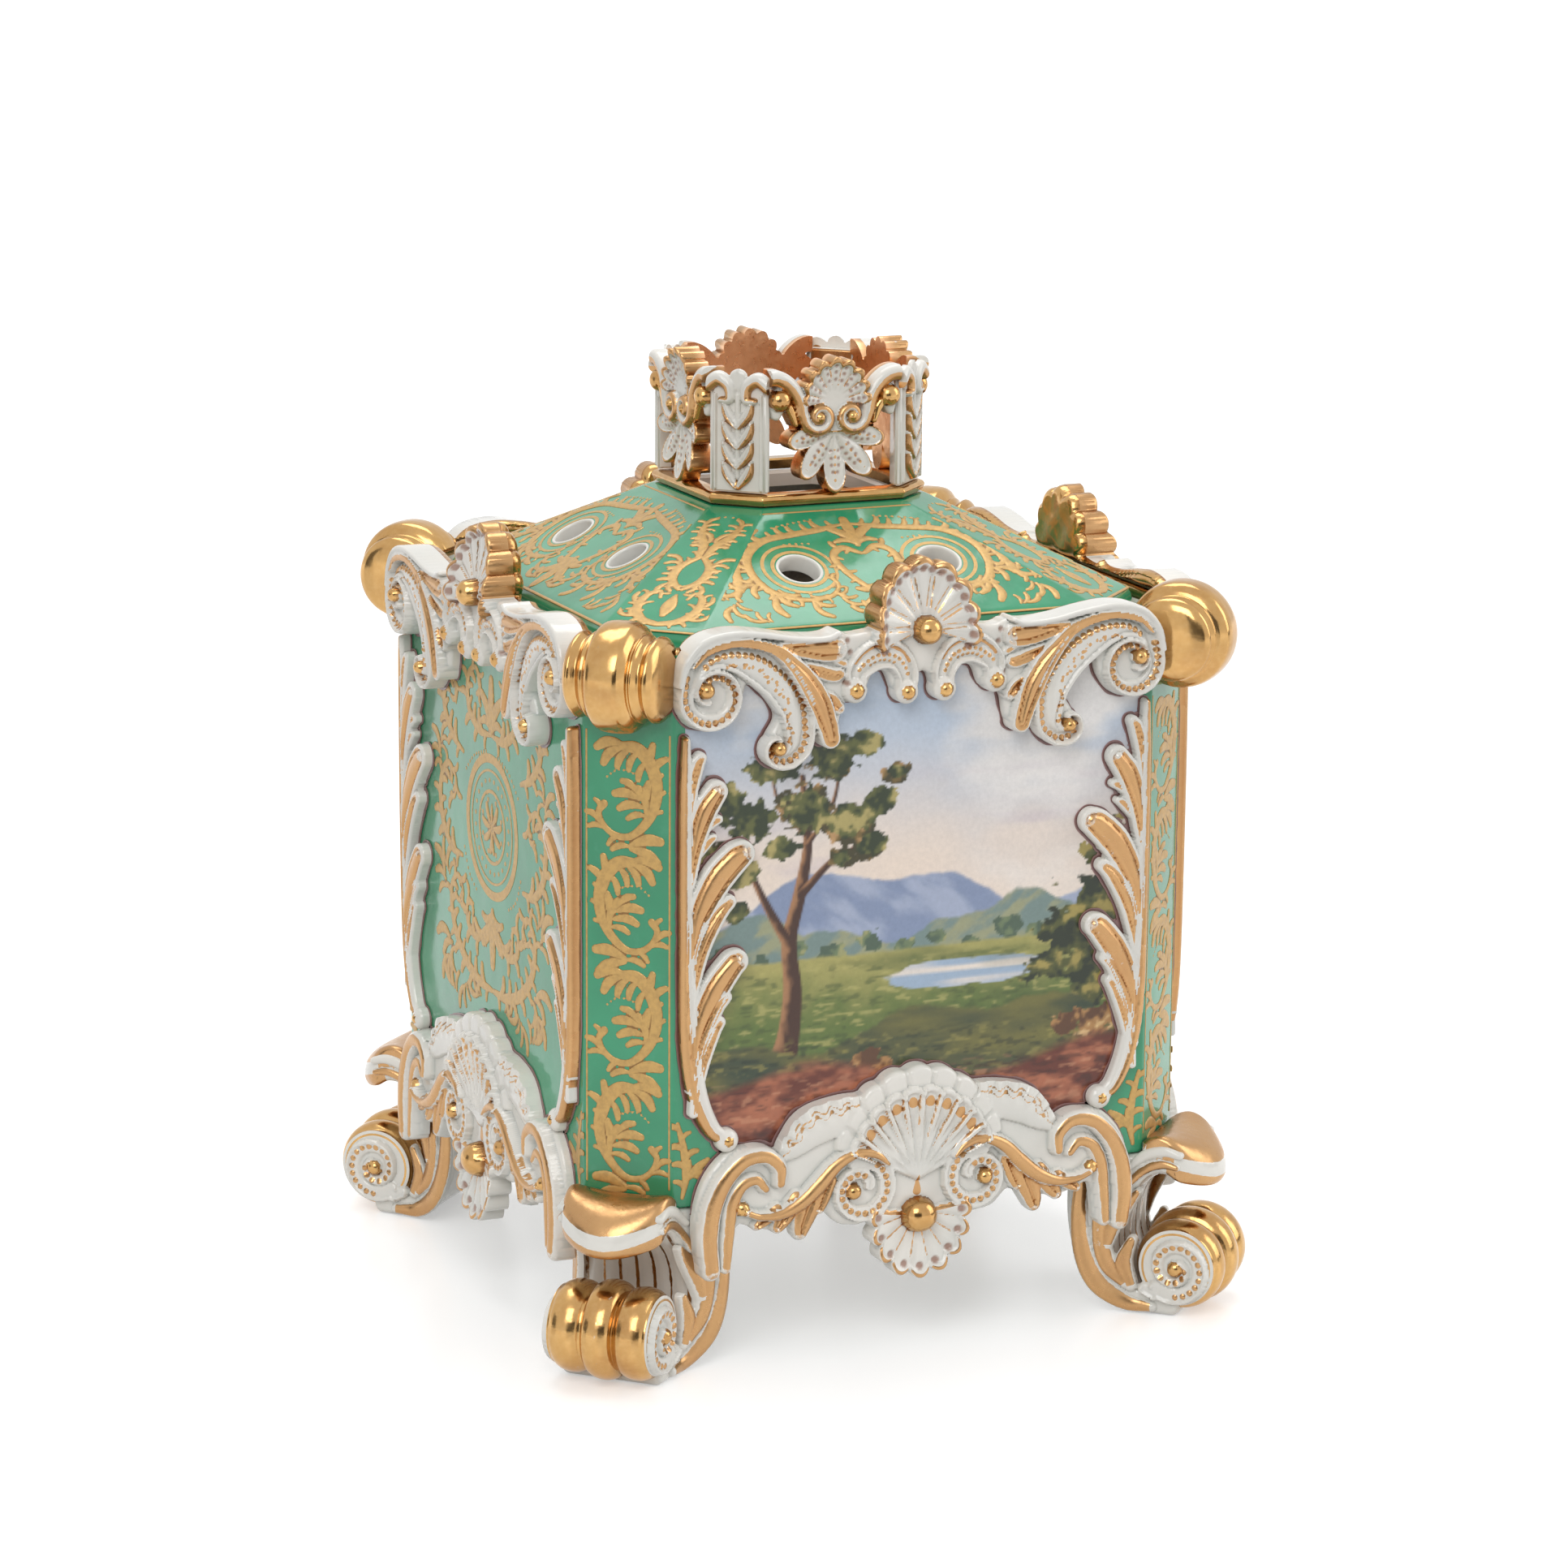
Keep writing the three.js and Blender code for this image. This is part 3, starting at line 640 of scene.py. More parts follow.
def relief_material():
    """Glazed white porcelain with hand-laid gilding, painted shade in its hollows, and an umber outline that is
    painted shadow too.
    """
    g = Graph("glazed_relief")
    gilt, edge, hollow, accent = (g.attribute(name) for name in ("gilt", "edge", "hollow", "accent"))
    wavering = g.add(gilt, g.times(g.minus(g.noise(0.9, 3), 0.5), 0.3))
    gilded = g.ramp(wavering, -0.04, 0.04, 1, 0)
    rear = g.ramp(accent, -0.9, -0.5, 1, 0)
    rubbed = g.times(g.patches(0.7, 6, 0.68, 0.74, 0, 0.6, 0.65), g.minus(1.0, rear))
    gilded = g.minus(gilded, g.times(gilded, rubbed))
    line = g.ramp(edge, -0.02, 0.005)
    burnished = g.ramp(gilt, -FAR / 2, -FAR / 2 + 1, 1, 0)
    gold = g.mix(g.minus(0.7, g.times(burnished, 0.7)), gold_colour(g), TAN_GOLD)
    # Painted shade: the gold deepens to brown in hollows and inside raised rims
    gold = g.mix(g.ramp(hollow, 0.0, 0.35, 0, 0.9), gold, DEEP_GOLD)
    # Rears, the inside of the crown, take a copper tint: painted reflection
    gold = g.mix(rear, gold, REFLECTED_COPPER_GOLD)
    colour = g.mix(gilded, porcelain_colour(g, hollow), gold)
    spots = g.math("MAXIMUM", accent, 0.0)
    colour = g.mix(g.times(spots, 0.8), colour, RED_BROWN)
    # The umber line round a relief: painted outline and painted contact shadow, mauve where it fades outward
    colour = g.mix(line, colour, g.mix(g.ramp(edge, 0.3, 1.0), UMBER, MAUVE))
    metal = g.times(gilded, g.minus(1.0, g.math("MAXIMUM", line, spots)))
    satin = g.minus(g.patches(0.8, 4, 0.3, 0.8, 0.16, 0.28), g.times(burnished, 0.11))
    return g.finish(
        base_color=colour, metallic=metal, roughness=g.add(0.09, g.times(metal, satin)),
        normal=g.ripple(0.5, 3.0, 0.1, 0.12, 0.6), ior=GLAZE_IOR,
    )


def gilding_material():
    """Burnished gold over a slightly uneven glaze, worn in small patches, with painted shade in its hollows."""
    g = Graph("burnished_gilding")
    worn = g.patches(0.5, 6, 0.72, 0.77, 0, 0.5, 0.6)
    # Painted shade: deeper gold in hollows
    gold = g.mix(g.ramp(g.attribute("hollow"), 0.02, 0.5), gold_colour(g), DEEP_GOLD)
    return g.finish(
        base_color=g.mix(worn, gold, WORN_GOLD), metallic=g.minus(1.0, g.times(worn, 0.7)),
        roughness=g.patches(0.4, 3, 0.3, 0.8, 0.13, 0.24), normal=g.ripple(0.16, 1.2, 0.04, 0.42),
    )


def flat_gilding_material():
    """Gold painted on the ground colour and only lightly burnished, with painted shade in its creases."""
    g = Graph("painted_gilding")
    tint = g.mix(g.patches(1.1, 5, 0.42, 0.72, rough=0.6), MATT_GOLD, THIN_GOLD)
    # Painted shade in the creases between lobes and along the edges of the gilding, standing also for brown
    # veins
    tint = g.mix(g.ramp(g.attribute("hollow"), 0.004, 0.028, 0, 0.85), tint, VEIN_AND_SHADE_BROWN)
    return g.finish(
        base_color=tint, metallic=0.35, roughness=g.patches(1.8, 3, 0.3, 0.8, 0.3, 0.5),
        normal=g.bump(g.noise(3.0, 3), 0.03),
    )


def green_material():
    """Copper-green enamel: glossy, slightly streaked and pooled, paler where it is thin."""
    g = Graph("green_enamel")
    colour = g.mix(g.patches(0.045, 4, 0.36, 0.68, rough=0.55), GREEN, DEEP_GREEN)
    colour = g.mix(g.patches(0.35, 5, 0.55, 0.8, 0, 0.28, 0.6), colour, PALE_GREEN)
    colour = g.mix(g.patches(2.6, 2, 0.79, 0.83, 0, 0.5), colour, DARK_GREEN)
    colour = g.mix(g.ramp(g.attribute("white"), 0.4, 0.6), colour, porcelain_colour(g))
    gilded = g.ramp(g.attribute("gilt"), -0.1, 0.1, 1, 0)
    return g.finish(
        base_color=g.mix(gilded, colour, gold_colour(g)), metallic=gilded,
        roughness=g.patches(0.4, 4, 0.3, 0.8, 0.1, 0.2), normal=g.ripple(0.12, 0.9, 0.08, 0.3),
        coat_weight=0.25, coat_roughness=0.06, ior=1.5,
    )


def porcelain_material():
    """Plain glazed porcelain for the inside, the floor and the flange."""
    g = Graph("plain_porcelain")
    return g.finish(
        base_color=porcelain_colour(g), roughness=g.patches(0.6, 4, 0.3, 0.8, 0.1, 0.22),
        normal=g.ripple(0.25, 2.0, 0.08, 0.2), ior=GLAZE_IOR,
    )


def painting_material():
    """Enamel painting: its colours ride on the mesh, with brush grain and a glossy glaze over them."""
    g = Graph("enamel_painting")
    grain = {0: g.attribute("paint", "Color"), "Scale": g.patches(1.6, 4, 0.3, 0.72, 0.95, 1.05, 0.6)}
    return g.finish(
        base_color=g.node("ShaderNodeVectorMath", grain, operation="SCALE").outputs[0],
        roughness=g.patches(0.7, 3, 0.3, 0.8, 0.14, 0.24), normal=g.bump(g.noise(1.4, 3), 0.05), ior=1.5,
    )


MATERIALS = SimpleNamespace(
    relief=relief_material(), gilding=gilding_material(), flat=flat_gilding_material(),
    green=green_material(), porcelain=porcelain_material(), painting=painting_material(),
)


# Sections of a ribbon: height from where a point lies on it


def rounded(base, rise):
    return lambda m: base + rise * bell(m.across)


def plate(low, high, radius):
    return lambda m: low + (high - low) * quarter(m.inset, radius)


def leaf(base, rise, vein, width=0.22):
    """A rounded leaf with a groove down its middle."""
    return lambda m: base + rise * bell(m.across) - vein * bell(m.across / width)


def tongue(base, rise=0.9):
    """A broad leaf with a raised rim all round."""
    def height(m):
        return base + 0.55 * bell((m.inset - 0.45) / 0.5) + rise * (1 - m.across**2) * ease(m.inset, 0.5, 1.6)
    return height


def core(margin, tip=0.0):
    """Gilding down a leaf that leaves its edges and its tip white."""
    return lambda m: np.maximum(margin - m.inset, tip - m.left)


def all_gilt(m):
    return -FAR


def left_gilt(margin):
    """Gilding on the left half of a band."""
    return lambda m: margin - m.across * m.half


def shell(base, rise, flute, rim, width):
    """Height of a fluted shell that rises to a rim at a share of the way out."""
    def height(m):
        fluted = flute * (1 - m.lobe**2) * m.share
        return base + rise * m.share + fluted + 0.5 * bell((m.share - rim) / width)
    return height


def shell_gilt(end, at, half, rim):
    """Gilt strokes beside the grooves of a shell, up to end, and a gilt rim."""
    def gilt(m):
        strokes = np.where((m.share > 0.3) & (m.share < end), np.abs(m.groove - at) - half, FAR)
        return np.minimum((rim - m.share) * 6, strokes)
    return gilt


# Crest

CREST_VOLUTE = (35.8, 108.4)
CREST_CURL = (24.6, 99.6)
CREST_SHELL = (0, 116.3)
GROUND = 2.2  # height of the ground under the scrolls of a crest or an apron
RIM_TOP = WALL_HIGH[2]
BEAD_SPACING, BEAD_RADIUS = 1.15, 0.5


def great_scroll():
    """Middle line of the great scroll, its curl first, with the rows where its body and its volute begin."""
    curl = spiral(CREST_CURL, 2.6, 1.0, 225, 200, 1.6, 1.0, 14, 0.6)[::-1]
    body = spline([
        curl[-1], (21.3, 99.6, 2.1), (21.2, 102.4, 2.5), (21.9, 105.8, 2.9), (24.2, 109.6, 3.2),
        (27.8, 112.8, 3.3), (31.6, 114.6, 2.8), (35.4, 114.8, 2.2), (38.6, 112.7, 1.7), (39.9, 109.2, 1.4),
    ])
    volute = spiral(CREST_VOLUTE, 4.15, 1.0, 10, -410, 1.4, 0.75, 44, 3)
    return np.vstack([curl[:-1], body[:-1], volute]), len(curl), len(curl) + len(body) - 2


def scroll_section(base, turning):
    """White rims, a glazed channel that lies further in once the volute turns, and a swelling body."""
    def height(m):
        channel = 1.5 + 0.9 * ease(m.way, turning - 6, turning + 1)
        rims = 0.95 * bell((m.from_left - 0.35) / 0.42) + 0.6 * bell((m.from_right - 0.4) / 0.42)
        body = 0.5 * ease(m.from_left, channel + 0.5, channel + 1.8) * ease(m.from_right, 0.6, 1.5)
        return base + rims + body - 0.5 * bell((m.from_left - channel) / 0.75)
    return height


def lay_great_scroll(r):
    line, body, volute = great_scroll()
    r.ribbon(line, scroll_section(GROUND + 0.5, lengths(line)[volute]))
    inset = 1.3 + 1.5 * ease(np.arange(len(line)), body + 6, volute - 16)
    for depth, first, last in ((inset, 3, volute - 9), (1.2, volute - 5, -3)):
        r.beads(offset(line, line[:, 2] - depth)[first:last], BEAD_SPACING, BEAD_RADIUS)
    loose = np.random.default_rng(3)
    speckled = offset(line, line[:, 2] - 4.2)[body + 6 : volute - 16]
    for x, y in places(speckled, 0.5):
        dx, dy, size = loose.uniform((-0.55, -0.55, 0.2), (0.55, 0.55, 0.34))
        r.bead((x + dx, y + dy), size, 0.12)
    r.dome((36.8, 109.5), 1.25, GROUND + 1.1, 1.3)
    r.dome((24.7, 99.5), 1.1, GROUND + 1.0, 1.2)


def crest_ground():
    """Right half of the plate behind the scrolls."""
    lower = [
        (-3, 109.6), (0.6, 109.4), (1.6, 107), (3.2, 105.2), (4.9, 106.6), (6.4, 109.9), (8.6, 109.6),
        (10, 106.6), (12.2, 106), (13.6, 104.8), (14.4, 101), (16.2, 99), (17.9, 101.4), (19.4, 102),
        (20.2, 98.6), (22.6, 96.4), (25.6, 96.8), (26.9, 99.4), (25.9, 101.6), (24.6, 104.4), (26.8, 108.4),
        (29.4, 109.8), (30.4, 106.8), (32.6, 103.9), (36, 102.9), (39.6, 104.2), (41.3, 108),
    ]
    upper = [
        (41.4, 110), (40.2, 114), (37, 117.1), (32.4, 118), (27.6, 117.4), (22.6, 116.3), (17.6, 116),
        (14.2, 116.8), (12.4, 116.2), (8, 116.6), (-3, 118.4),
    ]
    return np.vstack([curved(lower, 4), curved(upper, 4)])


def lay_crest_leaves(r):
    """White rim over the great scroll, and the gilt acanthus along its outside."""
    r.ribbon([
        (41.1, 110.4, 0.4), (40.1, 113.9, 0.5), (37.2, 116.8, 0.6), (32.6, 117.8, 0.6), (27.6, 117.4, 0.55),
        (22.6, 116.5, 0.5), (18.6, 116.1, 0.5), (16.4, 116.2, 0.5), (14.9, 116.8, 0.45),
    ], rounded(GROUND + 0.9, 0.6))
    r.ribbon([
        (39, 113.2, 0.3), (36.6, 115.5, 0.6), (32.4, 116.5, 0.7), (28.2, 116, 0.8), (24.9, 114.7, 1.0),
        (22.4, 112.4, 1.4), (20.2, 109.8, 1.8), (18.2, 106.4, 2.0), (16.9, 103, 1.8), (16.2, 100.5, 1.6),
    ], tongue(GROUND + 1.0), lambda m: 0.12 + 0.26 * ease(m.half, 0.8, 1.4) - m.inset)
    root = [(24.2, 115.2, 0.9), (20.8, 114.8, 1.5), (17.4, 114.5, 2.0), (15.2, 114.3, 1.9)]
    r.ribbon(root, tongue(GROUND + 0.5, 0.8), core(0.34))
    r.ribbons([
        [(20.2, 112, 0.8), (17.6, 110.9, 1.2), (15.4, 110.2, 1.15), (14.4, 110.4, 0.9)],
        [(17.9, 107.6, 0.8), (15.9, 106.4, 1.2), (14.6, 105, 1.05)],
        [(15.2, 112.6, 0.6), (13.7, 111.9, 0.7)],
    ], tongue(GROUND + 0.2, 0.6), core(0.36))


def lay_small_scroll(r):
    """Arched scroll between the shell and the leaves, with a gilt ball at each foot."""
    arch = spline([
        (11.7, 108.2, 1.5), (11.4, 110.8, 2.0), (8.4, 112.9, 2.4), (5.0, 112.4, 2.2), (3.2, 109.8, 1.9),
        (3.2, 107.2, 1.6),
    ])

    def height(m):
        return GROUND + 0.4 + 0.8 * bell((m.inset - 0.4) / 0.42) + 0.45 * ease(m.inset, 1.0, 2.0)

    r.ribbon(arch, height)
    r.gild(offset(arch, -(arch[:, 2] - 1.0))[8:-10] * (1, 1, 0) + (0, 0, 0.24), 0.15)
    r.beads(arch[6:-6], 0.95, 0.36, 0.2)
    r.beads(offset(arch, 0.9)[10:-12], 0.85, 0.28, 0.12)
    for centre, radius in (((11.9, 107.6), 2.0), ((3.2, 106.8), 1.95)):
        r.dome(centre, radius, GROUND + 0.5, 0.9, FAR)
        r.dome(centre, radius - 0.8, GROUND + 1.2, 0.9)
    for centre in ((13.0, 115.4), (13.4, 108.9), (12.6, 113.6)):
        r.spot(centre, 0.42)


def lay_crest_shell(r):
    lean = 0.3  # of its top towards the wall

    def height(m):
        dish = 1.1 * m.share**2 - 0.25
        flute = 0.8 * (1 - m.lobe**2) * np.clip(m.share * 1.2, 0, 1)
        rim = 0.7 * bell((m.share - 0.93) / 0.09)
        return GROUND + 0.6 + dish + flute + rim - lean * np.maximum(m.y - CREST_SHELL[1], 0)

    r.fan(CREST_SHELL, 8.8, 11.2, -20, 200, 9, 0.09, height, shell_gilt(0.8, 0.35, 0.12, 0.91))
    r.spots(CREST_SHELL, (7.4, 9.4), -18 + 12 * np.arange(19), 0.62, 0.2)
    r.dome(CREST_SHELL, 2.15, GROUND + 1.5, 1.9)


def crest_relief():
    r = Relief(0, 43.5, 94.5, 128.8)
    r.polygon(crest_ground(), plate(1.2, GROUND, 1.3))
    lay_great_scroll(r)
    lay_crest_leaves(r)
    lay_small_scroll(r)
    lay_crest_shell(r)
    return r.mirrored()


COMB_PLANE = 1.2  # depth behind the face where the front and the back of a crest meet
CREST_BACK_DEPTH = 3.1  # depth behind the face of the back of a crest


def crest_comb(front):
    """Gilt back of a crest where it stands free above the rim of the case."""
    edge = np.maximum(front.edge, RIM_TOP + 0.25 - front.y)
    swell = 0.92 + 0.08 * np.sin(front.x * 0.9) * np.sin(front.y * 0.8)
    height = (CREST_BACK_DEPTH - COMB_PLANE) * quarter(-edge, 1.4) * swell
    level = np.zeros(edge.shape)
    return front.like(edge=edge, height=height, gilt=level - FAR, accent=level)


def shadow_line_width(x, y):
    """Width of the umber line round a relief, a painted outline and painted contact shadow; it fades out where
    the relief stands free.
    """
    return (0.12 + 0.55 * cloudy(x, y, 2.6, 5, 2)) * (1 - ease(y, 111, 114)) * ease(y, 24, 31)


def build_crests():
    relief = crest_relief()
    front = relief_mesh(relief, lambda x, y: np.where(y > RIM_TOP + 0.2, -COMB_PLANE, 0.0), line=shadow_line_width)
    comb = relief_mesh(crest_comb(relief), 0.0)
    comb = comb.moved(lambda p: np.column_stack([p[:, 0], p[:, 1], -COMB_PLANE - p[:, 2]]))
    comb.faces = [f[::-1] for f in comb.faces]
    build_round("crest_relief", on_face(front.added(comb), FACE_OUT), "case", "crest")


build_crests()


# Apron

APRON_FAN = (0, 27.6)
APRON_PENDANT = (0, 22.6)
APRON_VOLUTE = (10, 27.5)
APRON_BOSS = (0.2, 22.1)


def apron_ground():
    """Right half of the plate behind the scrolls of an apron."""
    lower = [
        (-3, 14), (0, 14.4), (4, 15.4), (6.6, 18), (7.4, 21.6), (10, 21.2), (13.4, 21.8), (15.8, 24),
        (17.6, 24), (19.2, 21), (20.6, 19.9), (22, 22.4), (24.6, 22), (28, 22.9), (30.6, 23.4), (31.4, 19),
    ]
    upper = [
        (37.2, 17.2), (37.9, 22), (37.6, 27.4), (35.6, 32.4), (31.8, 35.8), (27, 36.2), (23.6, 35), (22, 36),
        (20.6, 39.4), (17.6, 41.6), (13.6, 42.2), (9.6, 42.8), (5, 45), (-3, 45.4),
    ]
    return np.vstack([curved(lower, 4), [(31.6, 17.2)], curved(upper, 4)])


def lay_apron_fan(r):
    def frill(m):
        return 2.1 + 1.0 * quarter(m.inset, 1.0) - 0.4 * bell(m.groove / 0.45)

    def height(m):
        dish = 1.2 * ease(m.share, 0.25, 1)
        rib = 0.8 * bell(m.groove / 0.55) * np.clip(m.share * 1.4, 0, 1)
        return 2.3 + dish + rib + 0.45 * bell((m.share - 0.965) / 0.035)

    def gilt(m):
        lines = np.maximum(np.abs(m.groove - 0.42) - 0.11, np.maximum(0.3 - m.share, m.share - 0.95) * 12)
        mottled = np.hypot(m.middle / 1.15, (m.share - 0.84) * m.reach / 1.3) - 0.72
        return np.minimum(lines, mottled)

    r.fan(APRON_FAN, 15.6, 19, 24, 156, 9, 0.035, frill)
    r.fan(APRON_FAN, 13.4, 15.9, 26, 154, 10, 0.04, height, gilt)


def lay_apron_wing(r):
    """Frilled wing beside the fan: gilt flecks along its upper edge, plain below."""
    wing = [(8.6, 40.2, 2.4), (13.4, 39.5, 3.0), (18.2, 38.2, 3.1), (21.2, 35.9, 2.2), (23, 34.4, 1.2)]
    fold = 2.5  # from one fold of the frill to the next

    def folds(m):
        return np.cos(m.way * 2 * np.pi / fold)

    def height(m):
        return 2.0 + 0.8 * bell(m.across * 0.9) + 0.3 * folds(m) * ease(m.across, -0.2, 0.6)

    def gilt(m):
        upper, lower = (
            np.abs(m.from_left - depth - 0.35 * folds(m)) - half for depth, half in ((1.2, 0.14), (2.2, 0.12))
        )
        flecks = np.hypot(np.abs(m.way % fold - fold / 2), m.from_left - 1.7) - 0.34
        return np.where(m.across > -0.1, np.minimum.reduce([upper, lower, flecks]), FAR)

    r.ribbon(wing, height, gilt)


def lay_corner_scroll(r):
    """Scroll that turns over at the corner and runs down the leg in two gilt bands."""
    outer = [
        (24.1, 30.2, 1.1), (24.2, 32.8, 1.3), (26.6, 34.8, 1.4), (30.2, 34.4, 1.5), (33.4, 31.4, 1.6),
        (35.4, 27, 1.7), (36, 22, 1.7), (35.6, 17, 1.6),
    ]
    inner = [
        (26.4, 29.4, 0.9), (28, 31, 1.1), (30.4, 30.2, 1.2), (32, 27.2, 1.3), (32.6, 22.4, 1.2),
        (33, 17.2, 1.0),
    ]
    r.ribbon(outer, rounded(2.6, 1.3), core(0.5))
    r.ribbon(inner, rounded(2.2, 1.1), core(0.4))


def lay_apron_arm(r):
    """Beaded volute whose arm turns into an acanthus leaf, its stalk ending in a knob."""
    band = spiral(APRON_VOLUTE, 4.7, 1.5, 80, 440, 1.5, 0.9, 60, 2.2)

    def height(m):
        return 2.5 + 0.7 * bell((m.from_right - 0.35) / 0.45) + 0.4 * ease(m.from_right, 0.5, 1.0)

    r.dome(APRON_VOLUTE, 5.2, 1.9, 0.2, FAR)
    r.ribbon(band, height)
    r.beads(offset(band, 0.15)[5:-3], 1.3, 0.52, 0.35)
    r.dome((11.4, 27.2), 1.25, 2.9, 1.1)
    r.ribbons([
        [(17.6, 28.6, 1.8), (19, 25.4, 2.1), (20, 22.8, 1.7), (20.3, 21.4, 1.2)],
        [(21, 27, 1.6), (23, 24.4, 1.6), (24.2, 22.8, 1.1)],
        [(24.4, 25.6, 1.3), (26.6, 24.2, 1.2), (27.8, 23.4, 0.8)],
        [(15.4, 29.4, 1.4), (16.6, 26.6, 1.4), (17.2, 25, 1.0)],
    ], leaf(2.2, 1.0, 0.4), core(0.24))
    r.ribbon([
        (5.8, 31.4, 0.5), (7.6, 33, 0.8), (10.8, 33.7, 0.95), (14.4, 32.2, 1.2), (17.4, 29.2, 1.4),
        (20.6, 26.6, 1.3), (24, 25.2, 1.0), (27.4, 25.2, 0.75), (29.6, 26, 0.7),
    ], rounded(2.9, 1.3), core(0.25))
    r.dome((30.2, 26.5), 1.15, 2.6, 1.0)


def lay_pendant(r):
    def gilt(m):
        strokes = np.maximum(m.groove - 0.12, np.maximum(0.34 - m.share, m.share - 0.8) * 9)
        rim = np.maximum(np.abs(m.inset - 0.5) - 0.3, m.lobe * 2 - 1.7)
        return np.minimum(strokes, rim)

    r.fan(APRON_PENDANT, 8.9, 10.8, -190, 10, 9, 0.12, shell(2.0, 0.9, 0.7, 0.94, 0.06), gilt)
    r.spots(APRON_PENDANT, (7.2, 8.8), -190 + 200 / 9 * (np.arange(9) + 0.5), 0.62)
    r.gild(np.array([(0, 28.6, 0.1), (0, 25.8, 0.7)]))
    r.dome(APRON_BOSS, 2.7, 2.9, 2.5)


def apron_relief():
    r = Relief(0, 40.5, 9.5, 49)
    r.polygon(apron_ground(), plate(1.0, GROUND - 0.3, 1.3))
    for part in (lay_apron_fan, lay_apron_wing, lay_corner_scroll, lay_apron_arm, lay_pendant):
        part(r)
    return r.mirrored()


def build_aprons():
    mesh = on_face(relief_mesh(apron_relief(), RELIEF_BACK, line=shadow_line_width), FACE_OUT)
    build_round("apron_relief", mesh, "case", "apron")


build_aprons()


# Leaf strips: broad gilt tongues with raised white rims, rising inward from a stem along the arris

STRIP_EYE = (32.3, 37.5)


def strip_relief():
    r = Relief(25.5, 41.2, 34, 104)
    r.ribbon([
        (39.2, 101.6, 0.6), (39.2, 92, 0.95), (39.1, 70, 1.05), (38.4, 54, 1.6), (37.2, 45.4, 1.6),
        (35, 39.9, 1.4), (33, 38, 1.2),
    ], leaf(1.1, 0.9, 0.3, 0.3), left_gilt(0.05))
    r.dome(STRIP_EYE, 1.9, 1.1, 1.2, FAR)
    r.dome(STRIP_EYE, 0.95, 1.7, 0.9)
    r.ribbons(STRIP_TONGUES, tongue(1.2), core(0.6))
    r.ribbons(STRIP_LOBES, tongue(0.9, 0.5), core(0.45))
    return r


STRIP_TONGUES = [
    [(39, 88, 0.8), (38.6, 93.4, 1.2), (37.6, 97.4, 1.2), (36.9, 98.7, 0.95)],
    [(38.8, 79, 1.0), (38, 85, 1.7), (36.4, 90, 2.1), (34.3, 93.2, 1.85)],
    [(38.6, 67, 1.2), (37.4, 73.4, 2.1), (34.4, 79, 2.6), (31.4, 82.2, 2.5), (30.1, 83.1, 2.2)],
    [(38.4, 61, 0.9), (36.8, 68.6, 1.6), (34, 73.8, 1.5), (32.1, 75.7, 1.15)],
    [(38.2, 49.6, 1.2), (37.2, 56, 2.0), (34.6, 61.6, 2.4), (31.8, 65.4, 2.2), (30.9, 66.1, 2.0)],
    [(38.1, 46, 0.9), (37, 53, 1.5), (34.4, 58.6, 1.3), (32.6, 60.6, 1.0)],
    [(38, 42.4, 0.7), (36.8, 49.6, 1.3), (34.8, 54.8, 1.2), (33.6, 56.7, 0.95)],
]
STRIP_LOBES = [
    [(37.2, 86.6, 0.8), (35, 88.4, 0.95), (33.8, 88.8, 0.7)],
    [(37.6, 83, 0.7), (35.6, 85.4, 0.85), (34.6, 86, 0.6)],
    [(36.2, 76.2, 0.9), (33.4, 78.3, 1.0), (32, 78.7, 0.7)],
    [(37, 71.4, 0.8), (34.8, 73.3, 0.9), (33.6, 73.6, 0.6)],
    [(36.6, 59.4, 0.9), (34, 62, 1.0), (32.6, 62.7, 0.7)],
]


def build_strips():
    strip = relief_mesh(strip_relief(), RELIEF_BACK, line=shadow_line_width)
    for name, mesh in (("right", strip), ("left", strip.flipped())):
        whole = on_face(mesh, FACE_OUT)
        build_round(f"acanthus_strip_{name}", whole, "case", f"leaf_strip_{name}")


build_strips()


# Bodies of revolution and swept bodies


def revolve(profile, steps):
    """A closed body from (along, radius) rows that start and end on the axis, turned about X."""
    inner = profile[1:-1]
    points = [(profile[0][0], 0, 0)]
    for angle in np.arange(steps) * 2 * np.pi / steps:
        points += [(a, r * math.cos(angle), r * math.sin(angle)) for a, r in inner]
    points.append((profile[-1][0], 0, 0))
    count, last = len(inner), len(points) - 1
    faces = []
    for i in range(steps):
        one, two = 1 + i * count, 1 + (i + 1) % steps * count
        faces.append([0, two, one])
        faces += [[one + j, two + j, two + j + 1, one + j + 1] for j in range(count - 1)]
        faces.append([one + count - 1, two + count - 1, last])
    return Mesh(points, faces)


def octagon(half, cant, fillet):
    """Outline of a square with canted corners, its eight corners rounded, from the front right."""
    flat = half - cant
    corners = np.array([
        (flat, -half), (half, -flat), (half, flat), (flat, half),
        (-flat, half), (-half, flat), (-half, -flat), (-flat, -half),
    ])
    outline = []
    for i, corner in enumerate(corners):
        into = (corner - corners[i - 1]) / np.linalg.norm(corner - corners[i - 1])
        left = np.array([-into[1], into[0]])
        centre = corner - into * fillet * math.tan(22.5 * DEG) + left * fillet
        start = math.atan2(-left[1], -left[0])
        for t in np.linspace(0, 45 * DEG, 5):
            outline.append(centre + fillet * np.array([math.cos(start + t), math.sin(start + t)]))
    return np.array(outline)


def inset_row(half, cant, inset, height):
    """A row that lies evenly inside an octagon."""
    return half - inset, cant - (2 - math.sqrt(2)) * inset, height


def quads(rows, columns, ring=True):
    """Faces between neighbouring rows of points, each row closed; ring joins the last row to the first."""
    faces = []
    for row in range(rows if ring else rows - 1):
        here, there = row * columns, (row + 1) % rows * columns
        for i in range(columns):
            n = (i + 1) % columns
            faces.append([here + i, here + n, there + n, there + i])
    return faces


